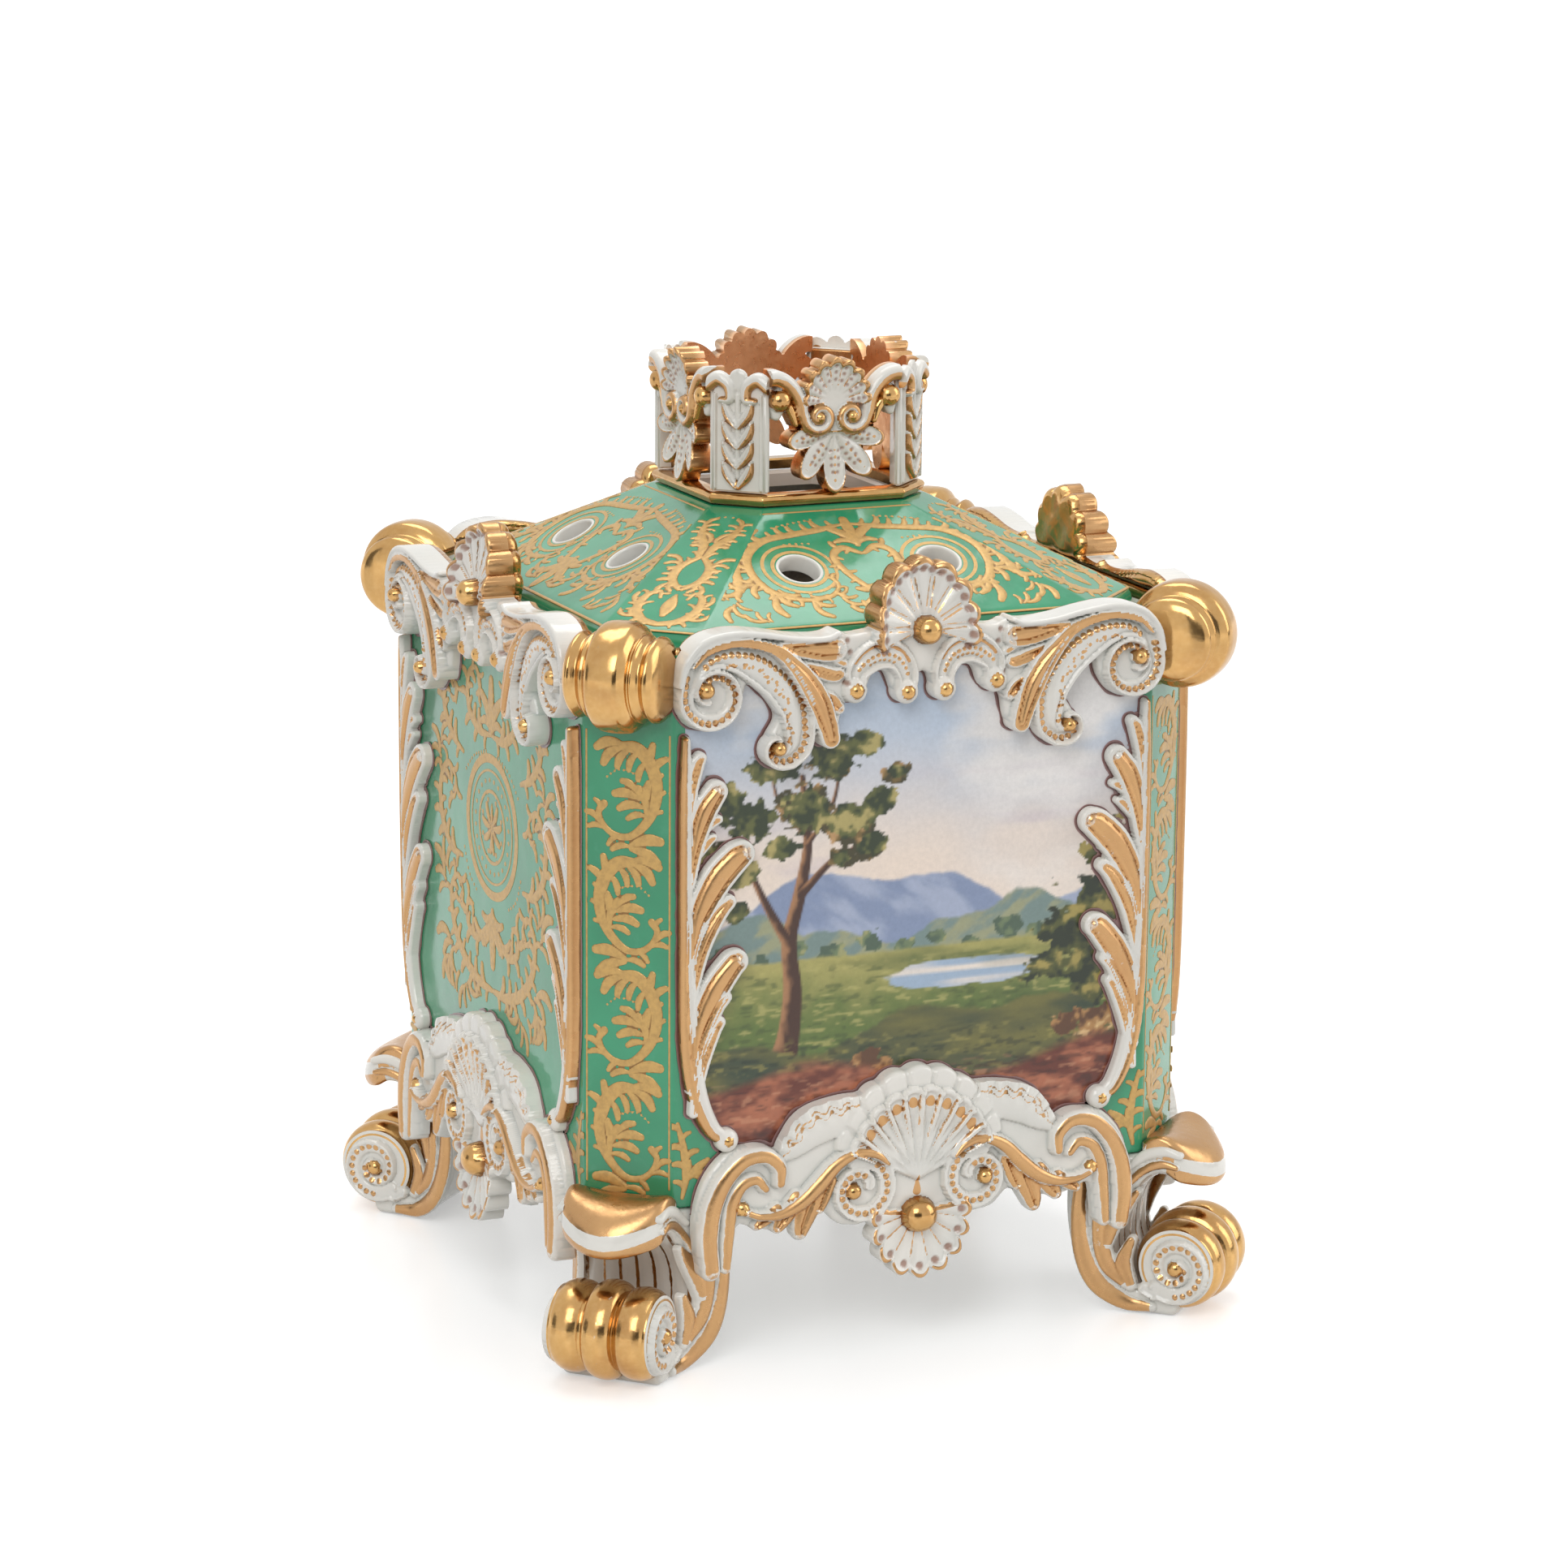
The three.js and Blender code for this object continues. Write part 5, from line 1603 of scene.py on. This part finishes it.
def side_gilding():
    """Right half of the scrollwork round a medallion."""
    r = Relief(0, 31, 43, 109)
    middle = 77.5
    hoops(r, 0, middle, ((11.3, 0.75), (9.3, 0.2), (5.9, 0.3)))
    for count, ring, size in ((24, 7.7, 0.4), (8, 4.6, 0.45), (1, 0, 1.0)):
        for k in range(count):
            angle = (k + 0.5) * 2 * math.pi / count
            r.dome((ring * math.sin(angle), middle + ring * math.cos(angle)), size, 0.02, 0.045)
    for angle in range(0, 360, 45):
        lobe(r, (math.sin(angle * DEG), middle + math.cos(angle * DEG)), 90 - angle, 3.2, 24, 0.21)
    for points in (
        [(0.4, 50.2, 0.6), (6, 50.4, 1.1), (12.6, 52.4, 1.3), (18.2, 57, 1.2), (19.6, 63, 0.9),
         (16.2, 66, 0.6), (13.8, 63.4, 0.4), (15.6, 61.4, 0.3)],
        [(2.4, 60.6, 0.5), (7, 57.6, 1.0), (11.6, 59, 0.9), (11.6, 63, 0.6), (9, 62.8, 0.3)],
        [(14.2, 69.8, 0.5), (19.4, 70.2, 1.0), (23.8, 74.4, 1.2), (24.4, 80.4, 1.0), (20.8, 84, 0.8),
         (17, 82, 0.5), (17.8, 78.8, 0.4), (20, 79, 0.3)],
        [(13.4, 87.4, 0.5), (18.4, 89.2, 1.0), (22.4, 93.6, 1.1), (20.6, 98.6, 0.8), (16.2, 97.8, 0.5),
         (16.8, 94.8, 0.3)],
        [(0.8, 92.6, 0.5), (5.6, 92.6, 1.0), (10.4, 95.2, 1.1), (10.8, 100.4, 0.9), (7, 102.6, 0.5),
         (4.8, 99.8, 0.4), (6.6, 98.2, 0.3)],
    ):
        stem(r, points, 1.7, 3.5)
    for where in ((0, 93, 90, 8.6), (0, 63.4, -90, 8.8), (12.6, 103, 90, 5)):
        palmette(r, *where)
    for where in (
        (22.8, 65, 70, 6, -1), (22, 66.4, 40, 4.6, 1), (20.6, 54.4, 30, 6.4, -1), (21.4, 51, -24, 5.2, -1),
        (19.6, 46.6, 16, 5.6, 1), (14, 47.6, -30, 4.6, -1), (24.6, 85.4, 74, 5.2, -1), (24, 87.6, 100, 4, 1),
        (22.2, 98, 40, 5, -1), (7.4, 47.6, -16, 4.6, 1),
    ):
        tuft(r, *where)
    dots(r, spline([(2, 89.8, 1), (8, 87.9, 1), (12.6, 84.4, 1)]), 1.2, 0.3)
    dots(r, spline([(13.4, 72, 1), (11, 67.6, 1), (6.6, 65, 1)]), 1.2, 0.3)
    return r.mirrored()


def face_sprigs():
    """Sprigs on the green beside the feet, outside the curls of the leaf strips."""
    r = Relief(34, 41, 27, 46, 0.2)
    stem(r, [(39.2, 28.6, 0.4), (38.6, 32, 0.8), (38.9, 36, 0.8), (40, 40.6, 0.4)], 1.6, 2.9)
    palmette(r, 38.8, 32, 150, 4.4, 3, 80)
    return r


def build_wall_gilding():
    corner, side, sprigs = (
        relief_mesh(drawn(), -LINE_HEIGHT) for drawn in (corner_gilding, side_gilding, face_sprigs)
    )
    corner = on_face(corner, CORNER_OUT)
    build_round("corner_gilding", corner, "case", ends=CORNERS, material=MATERIALS.flat)
    pair = sprigs.added(sprigs.flipped())
    for i, name in enumerate(SIDES):
        whole = on_face(pair if name == "front" else side.added(pair), FACE_HALF)
        build(f"face_gilding_{name}", whole.turned(90 * i), MATERIALS.flat, "case")


build_wall_gilding()


# Roof

EAVE = (46.0, 12.0)  # half width and cant
CROWN = (18.6, 6.35)  # the same at the throat under the crown
ROOF_EAVE_TOP = 116.0
ROOF_TOP = ROOF_HIGH[2]
ROOF_SLOPE = math.atan2(ROOF_TOP - ROOF_EAVE_TOP, EAVE[0] - CROWN[0])
ROOF_LENGTH = math.hypot(ROOF_TOP - ROOF_EAVE_TOP, EAVE[0] - CROWN[0])
CANT_RUN = ((2 * EAVE[0] - EAVE[1]) - (2 * CROWN[0] - CROWN[1])) / math.sqrt(2)
CANT_SLOPE = math.atan2(ROOF_TOP - ROOF_EAVE_TOP, CANT_RUN)
VENT_ASIDE, VENT_DOWN, VENT_RADIUS = 12.0, 16.0, 3.5  # across a facet, down its slope, and radius
ROOF_THICKNESS = 3


def roof_row(share, drop=0.0):
    """A row of the roof's surface, share 0 at the eave and 1 at the crown, sunk by drop."""
    half = EAVE[0] + (CROWN[0] - EAVE[0]) * share
    cant = EAVE[1] + (CROWN[1] - EAVE[1]) * share
    return half, cant, ROOF_EAVE_TOP + (ROOF_TOP - ROOF_EAVE_TOP) * share - drop


def on_slope(points, start, slope):
    """From a roof facet's plane (across, down from the crown as negative y, height) to the front facet."""
    x, y, h = points.T
    down = -y
    return np.column_stack([
        x, -(start + down * math.cos(slope) + h * math.sin(slope)),
        ROOF_TOP - down * math.sin(slope) + h * math.cos(slope),
    ])


def at_vents(points, faces):
    """A body at each of the eight smoke holes, given with the hole's axis as its z."""
    bodies = [
        Mesh(on_slope(points + (side * VENT_ASIDE, -VENT_DOWN, 0), CROWN[0], ROOF_SLOPE), faces).turned(turn)
        for turn in range(0, 360, 90) for side in (-1, 1)
    ]
    return bodies[0].added(*bodies[1:])


def pierced(blank, cutters):
    """A mesh with holes cut through it."""
    body = mesh_object("blank", blank.points.tolist(), blank.faces)
    tool = mesh_object("cutters", cutters.points.tolist(), cutters.faces)
    cut = body.modifiers.new("holes", "BOOLEAN")
    cut.operation, cut.solver, cut.object = "DIFFERENCE", "EXACT", tool
    data = bpy.data.meshes.new_from_object(body.evaluated_get(bpy.context.evaluated_depsgraph_get()))
    for used in (body, tool):
        bpy.data.objects.remove(used)
    return Mesh([v.co for v in data.vertices], [list(p.vertices) for p in data.polygons])


def build_roof():
    """The roof, its rows going up the outside, over the throat and down the inside."""
    low = ROOF_LOW[2]
    drop = ROOF_THICKNESS / math.cos(ROOF_SLOPE)
    (half, cant), (throat, narrow) = EAVE, CROWN
    rows = [
        (half - 5.8, cant - 3, low), (half - 0.6, cant - 0.3, low), (half - 0.1, cant, low + 0.5),
        (half, cant, low + 1.4), (half - 0.15, cant, ROOF_EAVE_TOP - 0.6),
        roof_row(0.022, 0.1), *[roof_row(share) for share in np.linspace(0.06, 0.985, 9)],
        (throat, narrow, ROOF_TOP - 0.05), (throat - 3.2, narrow - 1.9, ROOF_TOP),
        (throat - 3.6, narrow - 2.1, ROOF_TOP - 0.5), (throat - 3.6, narrow - 2.1, ROOF_TOP - 2.6),
        roof_row(0.94, drop), roof_row(0.22, drop), (half - 5.8, cant - 3, ROOF_EAVE_TOP - 0.35),
    ]
    reach, radius = 9, VENT_RADIUS
    cutter = revolve([(-reach, 0), (-reach, radius), (reach, radius), (reach, 0)], 48)
    roof = pierced(octagonal_ring(rows, 1.0), at_vents(cutter.points[:, [1, 2, 0]], cutter.faces))
    x, y, z = roof.points.T
    side = np.maximum(np.abs(x), np.abs(y))
    diagonal = (np.abs(x) + np.abs(y)) / math.sqrt(2)
    eave = (2 * half - cant) / math.sqrt(2)
    surface = ROOF_EAVE_TOP + np.minimum(
        (half - side) * math.tan(ROOF_SLOPE), (eave - diagonal) * math.tan(CANT_SLOPE),
    )
    outside = (z > surface - 0.45) | (side > half - 0.7) | (diagonal > eave - 0.7)
    roof.values["white"] = np.where(outside & (side > throat - 1), 0.0, 1.0)
    build("cover_shell", roof, MATERIALS.green, "cover", ["cover_roof"], sharp=35)


def build_vent_linings():
    """Thick white lips of the smoke holes, a little proud of the enamel."""
    radius, steps = VENT_RADIUS, 40
    inner, outer = radius - 0.28, radius + 0.34
    section = [
        (inner, -2.7), (inner, -0.3), (inner + 0.12, 0.02), (radius - 0.02, 0.13), (outer - 0.1, 0.1),
        (outer, -0.05), (outer, -0.3), (radius - 0.03, -0.5), (radius - 0.03, -2.7),
    ]
    points = [
        (out * math.cos(angle), out * math.sin(angle), up)
        for angle in np.arange(steps) * 2 * np.pi / steps for out, up in section
    ]
    faces = [[a, d, c, b] for a, b, c, d in quads(steps, len(section))]
    lips = at_vents(np.array(points), faces)
    build("vent_linings", lips, MATERIALS.porcelain, "cover", sharp=60)


def within(r, top, foot, length):
    """Both halves of a facet's gilding, clipped at its sides; top and foot are its half widths."""
    side = r.x - top - (foot - top) * -r.y / length + 0.35
    r.edge = np.maximum(r.edge, side)
    return r.mirrored()


def facet_gilding():
    """Right half of the scrollwork round the two smoke holes of a facet."""
    r = Relief(0, 34, -30.6, -0.8, 0.22)
    hoops(r, VENT_ASIDE, -VENT_DOWN, ((VENT_RADIUS + 0.85, 0.32), (VENT_RADIUS + 2.5, 0.3)))
    for points, length, side in (
        ([(0.8, -5.4, 0.4), (5, -6.4, 0.8), (10, -7.2, 0.85), (15.6, -8.4, 0.9), (19.6, -12.2, 0.95),
          (20.2, -17.4, 0.9), (18, -21.8, 0.8), (13.6, -23.8, 0.7), (9.2, -23.2, 0.6), (7, -20.4, 0.4),
          (8, -18.6, 0.3)], 2.4, 1),
        ([(0.3, -13, 0.5), (3, -11.4, 0.9), (5.2, -13.4, 0.8), (4.6, -17.4, 0.8), (2.6, -21.4, 0.7),
          (0.4, -24.4, 0.4)], 2.1, 0),
        ([(15.4, -5.4, 0.4), (20, -9.4, 0.8), (22.6, -15.4, 0.9), (24, -20.6, 0.8), (27.6, -21.6, 0.5)],
         2.6, 0),
    ):
        stem(r, points, 2.2, length, side)
    for where in ((0, -10.8, 90, 6.6), (0, -20.6, -90, 8)):
        palmette(r, *where)
    for where in (
        (18.4, -22.6, -58, 5, -1), (12.8, -24.6, -84, 4.4, -1), (7.6, -24, -112, 3.4, -1),
        (21, -19, -4, 4.6, -1), (24.4, -19.4, 52, 4.2, 1), (28, -22.2, 4, 4, 1), (26.6, -24.2, -36, 4, -1),
        (3.6, -27.6, -10, 3.8, 1), (19.4, -9, 48, 3.6, 1), (22.6, -28.4, 4, 3.4, 1),
    ):
        tuft(r, *where)
    dots(r, spline([(5, -3.6, 1), (9.6, -4.4, 1), (13.6, -5.4, 1)]), 1.05, 0.27)
    dots(r, spline([(7.6, -9.8, 1), (12, -9.6, 1), (16, -11.2, 1)]), 1.05, 0.25)
    rule(r, 0, 33.4, -30.2, 0.26)
    rule(r, 0, 12.8, -1.5, 0.18)
    return within(r, CROWN[0] - CROWN[1], EAVE[0] - EAVE[1], ROOF_LENGTH)


def cant_gilding():
    """Right half of the scrollwork up a canted facet."""
    r = Relief(0, 8.4, -37.2, -1, 0.22)
    r.ribbon(spline([(0, -32.4, 0.6), (0, -29.8, 1.25), (0, -26.6, 0.3)], 5), thin, all_gilt)
    for points, length in (
        ([(0.2, -35, 0.8), (3, -34, 1.0), (4.9, -31, 1.0), (4.7, -27.4, 0.8), (3, -25.8, 0.5),
          (2.3, -27.6, 0.4)], 2),
        ([(0.3, -25, 0.5), (2.5, -22, 1.0), (2.4, -18.4, 0.9), (0.3, -15.4, 0.6)], 2.4),
        ([(0.4, -15.6, 0.6), (1.1, -12, 1.0), (2.6, -8.8, 0.9), (3.1, -5.4, 0.5)], 2.2),
    ):
        stem(r, points, 1.5, length, -1)
    for where in (
        (5.2, -33.4, 4, 3.2, 1), (5.4, -29.6, 40, 3.2, 1), (2.8, -17.2, 62, 3.6, -1), (0.5, -11, 92, 3.4, -1),
        (3, -6.4, 84, 3, 1), (2.6, -23.4, -40, 3.4, -1),
    ):
        tuft(r, *where)
    dots(r, spline([(0.2, -3.2, 1), (2.4, -3.8, 1)]), 1.0, 0.25)
    rule(r, 0, 8.2, -36.8, 0.26)
    cant_length = math.hypot(ROOF_TOP - ROOF_EAVE_TOP, CANT_RUN)
    return within(r, CROWN[1] / math.sqrt(2), EAVE[1] / math.sqrt(2), cant_length)


def build_roof_gilding():
    for name, drawn, ends, start, slope in (
        ("roof_gilding", facet_gilding, SIDES, CROWN[0], ROOF_SLOPE),
        ("hip_gilding", cant_gilding, CORNERS, (2 * CROWN[0] - CROWN[1]) / math.sqrt(2), CANT_SLOPE),
    ):
        mesh = relief_mesh(drawn(), -LINE_HEIGHT).moved(lambda p: on_slope(p, start, slope))
        build_round(name, mesh, "cover", ends=ends, material=MATERIALS.flat)


build_roof()
build_vent_linings()
build_roof_gilding()


# Crown

GALLERY_THICK = 2.4
CROWN_SCROLL = (2.75, 144.4)
CROWN_SHELL = (0, 146.6)
CROWN_NUB = (9.5, 147.3)
POST_TOP = 151.0
POST_OUT = (2 * GALLERY_OUT - CROWN[1]) / math.sqrt(2)


def crown_relief():
    r = Relief(0, 11.15, 131.9, 155, 0.2)
    low = plate(0.0, 0.5, 0.8)
    r.ribbon(spline([(0, 143.2, 2.4), (0, 147, 3.0), (0, 149, 2.6)], 4), low)
    lay_crown_palmette(r)
    arm = np.vstack([
        spline([
            (14, 148.4, 1.0), (12.6, 150.3, 1.2), (10.2, 150.9, 1.3), (7.8, 149.6, 1.25), (6.2, 147.2, 1.15),
            (5.7, 144.8, 1.05),
        ])[:-1],
        spiral(CROWN_SCROLL, 2.75, 0.55, 0, -500, 1.0, 0.5, 40),
    ])
    r.ribbon(arm, rounded(0.5, 1.1), left_gilt(-0.12))
    r.dome(CROWN_SCROLL, 0.85, 1.0, 1.0)
    spread, rise = 6, 7.4
    height, gilt = shell(0.2, 0.55, 0.6, 0.93, 0.1), shell_gilt(0.84, 0, 0.1, 0.87)
    r.fan(CROWN_SHELL, spread, rise, -4, 184, 9, 0.12, height, gilt)
    for way in (0.5, 0.66, 0.8):
        r.spots(CROWN_SHELL, (spread * way, rise * way), 6 + 168 / 8 * np.arange(9), 0.28, 0.15)
    r.ribbon(spline([(9.9, 144.8, 0.7), (9.6, 146.6, 1.3), (9.4, 148.4, 1.0)], 4), low)
    r.dome(CROWN_NUB, 1.75, 0.6, 1.4)
    r.ribbon(spline([(6.8, 143.4, 0.5), (7.6, 145.6, 0.8), (8.6, 147, 0.7)], 4), rounded(0.3, 0.8), all_gilt)
    return r.mirrored()


def lay_crown_palmette(r):
    """Five drooping petals with two rows of spots down each."""
    def height(m):
        return 0.1 + 0.95 * (1 - m.lobe**2) * (0.35 + 0.65 * m.share) + 0.35 * bell((m.inset - 0.35) / 0.4)

    def gilt(m):
        vein = np.hypot(m.middle, (m.radius % 1.25 - 0.62) * 0.8) - 0.22
        return np.minimum(m.inset - 0.55, np.where((m.share > 0.3) & (m.share < 0.86), vein, FAR))

    root = 142.2
    r.fan((0, root), 8.5, 10.1, -188, 8, 5, 0.42, height, gilt)
    for k in range(5):
        angle = (-188 + 196 / 5 * (k + 0.5)) * DEG
        for way in (3.4, 4.6, 5.7, 6.8):
            aside = 0.62 if way < 6 else 0.4
            out, up = way * math.cos(angle) * 0.86, way * math.sin(angle)
            for side in (-aside, aside):
                r.spot((out - side * math.sin(angle), root + up + side * math.cos(angle)), 0.27, 0.15)


def post_upright():
    """The plain upright of a pilaster, which turns the corner a little; gilt on its inner side."""
    half = CROWN[1] / math.sqrt(2)
    wrap, deep = 0.7, 2.6 / math.sqrt(2)
    plan = [
        (-half, 0), (half, 0), (half + wrap, wrap), (half + wrap - deep, wrap + deep),
        (-half - wrap + deep, wrap + deep), (-half - wrap, wrap),
    ]
    bm = bmesh.new()
    base = bm.faces.new([bm.verts.new((x, y - POST_OUT, GALLERY_FOOT)) for x, y in plan])
    top = bmesh.ops.extrude_face_region(bm, geom=[base])["geom"]
    raised = [g for g in top if isinstance(g, bmesh.types.BMVert)]
    bmesh.ops.translate(bm, verts=raised, vec=(0, 0, POST_TOP - 0.8 - GALLERY_FOOT))
    bmesh.ops.bevel(bm, geom=bm.edges, offset=0.3, segments=3, affect="EDGES")
    bmesh.ops.recalc_face_normals(bm, faces=bm.faces)
    bm.verts.index_update()
    upright = Mesh([v.co[:] for v in bm.verts], [[v.index for v in f.verts] for f in bm.faces])
    bm.free()
    inward = upright.points[:, 1] > -POST_OUT + wrap + 0.6 * deep
    upright.values["gilt"] = np.where(inward, -1.0, FAR)
    return upright


def post_husk():
    """Right half of the husk of leaves up the canted face of a pilaster."""
    r = Relief(0, 5.2, GALLERY_FOOT, 152.2, 0.2)
    r.ribbon(np.array([(0, 135, 0.35), (0, 148, 0.5)]), rounded(0.1, 0.6))
    r.ribbon(np.array([(3.9, 133, 0.3), (3.9, 148, 0.3)]), rounded(0.05, 0.35))
    for level in np.arange(134.6, 146.5, 3.2):
        blade = spline([(0.2, level - 1.2, 0.5), (1.7, level + 0.8, 0.9), (2.5, level + 3.0, 0.2)], 5)
        r.ribbon(blade, leaf(0.15, 0.85, 0.25), lambda m: np.maximum(m.across * m.half + 0.15, 0.2 - m.left))
    r.dome((0, 133.6), 0.8, 0.1, 0.7)
    curl = [(5.2, 149.4, 1.1), (3.4, 150.6, 1.2), (1.6, 149.4, 1.0), (1.4, 147.4, 0.8), (2.9, 147.2, 0.5)]
    r.ribbon(spline(curl, 6), rounded(0.1, 1.0), left_gilt(0.1))
    r.ribbon(np.array([(0, 150, 1.6), (0, 150.6, 1.6)]), rounded(0.0, 0.5))
    return r


def build_crown():
    foot = ROOF_TOP + 0.2
    around = [
        (-0.05, 0.1), (0.1, 0.55), (0.3, 0.95), (0.3, 1.15), (0.05, 1.55), (-0.5, 1.8), (-3, 1.8),
        (-3.3, 1.5), (-3.3, 0.1), (-3, 0),
    ]
    ring = octagonal_ring([(CROWN[0] + out, CROWN[1] + 0.586 * out, foot + up) for out, up in around], 0.5)
    ring.values["gilt"][:] = -FAR
    build("crown_band", ring, MATERIALS.gilding, "cover", ["crown_ring"], sharp=40)
    # The backs of the panels, inside the gallery, are gilt with a painted copper reflection
    panel = on_face(relief_mesh(crown_relief(), -GALLERY_THICK, back_gilt=-1.0), GALLERY_OUT)
    build_round("crown_relief", panel, "cover", "crown_panel")
    post = post_upright().added(on_face(relief_mesh(post_husk().mirrored(), -0.3), POST_OUT))
    build_round("crown_pilaster", post, "cover", "crown_post", CORNERS)


build_crown()


# Stage, light and camera


FLOOR_HALF = 12.0  # metres
FLOOR_LIFT = 0.38  # what the camera sees on the floor beyond its own light, near the object
QUAD = ((-1, -1), (1, -1), (1, 1), (-1, 1))


def build_stage():
    """Pale floor: it catches the shadow near the object and runs out to plain white."""
    g = Graph("studio_floor")
    path = g.node("ShaderNodeLightPath").outputs
    seen = g.math("MAXIMUM", path["Is Camera Ray"], path["Is Glossy Ray"])
    distance = g.node("ShaderNodeVectorMath", {0: g.place()}, operation="LENGTH").outputs["Value"]
    beyond = g.ramp(distance, 150, 420)
    lift = g.add(FLOOR_LIFT, g.times(beyond, 1 - FLOOR_LIFT))
    tint = g.ramp(beyond, 0, 1, 0.82, 0.0)
    shader = g.node("ShaderNodeBsdfPrincipled", {
        "Base Color": g.node("ShaderNodeCombineColor", {"Red": tint, "Green": tint, "Blue": tint}).outputs[0],
        "Roughness": g.patches(0.01, 2, 0.3, 0.7, 0.2, 0.26), "Specular IOR Level": 0.25,
    }).outputs[0]
    glow = g.node("ShaderNodeEmission", {"Strength": g.times(seen, lift)}).outputs[0]
    both = g.node("ShaderNodeAddShader", {0: shader, 1: glow}).outputs[0]
    g.node("ShaderNodeOutputMaterial", {"Surface": both})
    corners = [(x * FLOOR_HALF, y * FLOOR_HALF, 0) for x, y in QUAD]
    mesh_object("studio_floor", corners, [(0, 1, 2, 3)], g.owner)


def build_world():
    """Plain white where it is seen, and dimmer as a light."""
    g = Graph("studio", "worlds")
    bpy.context.scene.world = g.owner
    path = g.node("ShaderNodeLightPath").outputs
    seen = g.math("ADD", path["Is Camera Ray"], path["Is Glossy Ray"], clamp=True)
    seen = g.math("ADD", seen, path["Is Transmission Ray"], clamp=True)
    light = {"Color": (1, 1, 1), "Strength": g.ramp(seen, 0, 1, 0.55, 1.0)}
    g.node("ShaderNodeOutputWorld", {"Surface": g.node("ShaderNodeBackground", light).outputs[0]})


LIT = Vector((0, 0, 0.08))  # what the lamps and cards face, in metres like their own places


def add_lamp(name, place, size, power):
    data = bpy.data.lights.new(name, "AREA")
    data.shape = "RECTANGLE"
    data.size, data.size_y = size
    data.energy = power
    lamp = bpy.data.objects.new(name, data)
    lamp.location = place
    lamp.rotation_euler = (LIT - Vector(place)).to_track_quat("-Z", "Y").to_euler()
    bpy.context.scene.collection.objects.link(lamp)


def add_card(name, place, size, grey):
    """A dark card that only reflections see: it gives the gilding its deep tones."""
    turn = (LIT - Vector(place)).to_track_quat("Z", "Y")
    corners = [Vector(place) + turn @ Vector((x * size[0] / 2, y * size[1] / 2, 0)) for x, y in QUAD]
    g = Graph(name)
    glow = g.node("ShaderNodeEmission", {"Strength": grey}).outputs[0]
    g.node("ShaderNodeOutputMaterial", {"Surface": glow})
    card = mesh_object(name, [tuple(corner) for corner in corners], [(0, 1, 2, 3)], g.owner)
    card.visible_camera = card.visible_diffuse = card.visible_shadow = card.visible_transmission = False


# The camera was fitted to the corners and feet of the case in the photograph
VIEW_TURN = 23.315  # degrees from the front face's normal
VIEW_DOWN = 12.775
VIEW_ROLL = 0.397
VIEW_DISTANCE = 852.16  # mm from the target
VIEW_TARGET = (0, 0, 79.5)
FOCAL_PIXELS = 6359.4
PICTURE = 1932  # pixels
VIEW_CENTRE = (967.78, 972.69)  # pixel where the target falls
SENSOR = 36


def build_camera():
    turn, down, roll = VIEW_TURN * DEG, VIEW_DOWN * DEG, VIEW_ROLL * DEG
    ahead = Vector((math.sin(turn) * math.cos(down), math.cos(turn) * math.cos(down), -math.sin(down)))
    right = Vector((math.cos(turn), -math.sin(turn), 0))
    up = right.cross(ahead)
    right, up = (
        math.cos(roll) * right + math.sin(roll) * up,
        math.cos(roll) * up - math.sin(roll) * right,
    )
    per_pixel = VIEW_DISTANCE / FOCAL_PIXELS
    aside = (VIEW_CENTRE[0] - PICTURE / 2) * per_pixel
    lift = (PICTURE / 2 - VIEW_CENTRE[1]) * per_pixel
    place = Vector(VIEW_TARGET) - VIEW_DISTANCE * ahead - aside * right - lift * up
    data = bpy.data.cameras.new("photo_view")
    data.sensor_width = SENSOR
    data.lens = FOCAL_PIXELS * SENSOR / PICTURE
    data.clip_start, data.clip_end = 0.01, 20
    camera = bpy.data.objects.new("photo_view", data)
    axes = Matrix((right, up, -ahead)).transposed()
    camera.matrix_world = Matrix.Translation(place * MM) @ axes.to_4x4()
    bpy.context.scene.collection.objects.link(camera)
    bpy.context.scene.camera = camera


build_stage()
build_world()
add_lamp("key", (-0.55, -0.75, 0.75), (0.6, 0.6), 4.6)
add_lamp("fill", (0.8, -0.35, 0.45), (0.5, 0.7), 2.4)
add_lamp("top", (0.05, 0.25, 0.95), (0.7, 0.5), 3.3)
add_card("dark_card_front", (-0.5, -1.5, 0.25), (1.3, 0.75), 0.1)
add_card("dark_card_right", (1.5, -0.5, 0.2), (0.9, 0.8), 0.16)
add_card("dark_card_left", (-1.5, 0.35, 0.2), (0.7, 0.8), 0.2)
build_camera()
bpy.context.scene.view_settings.view_transform = "Standard"
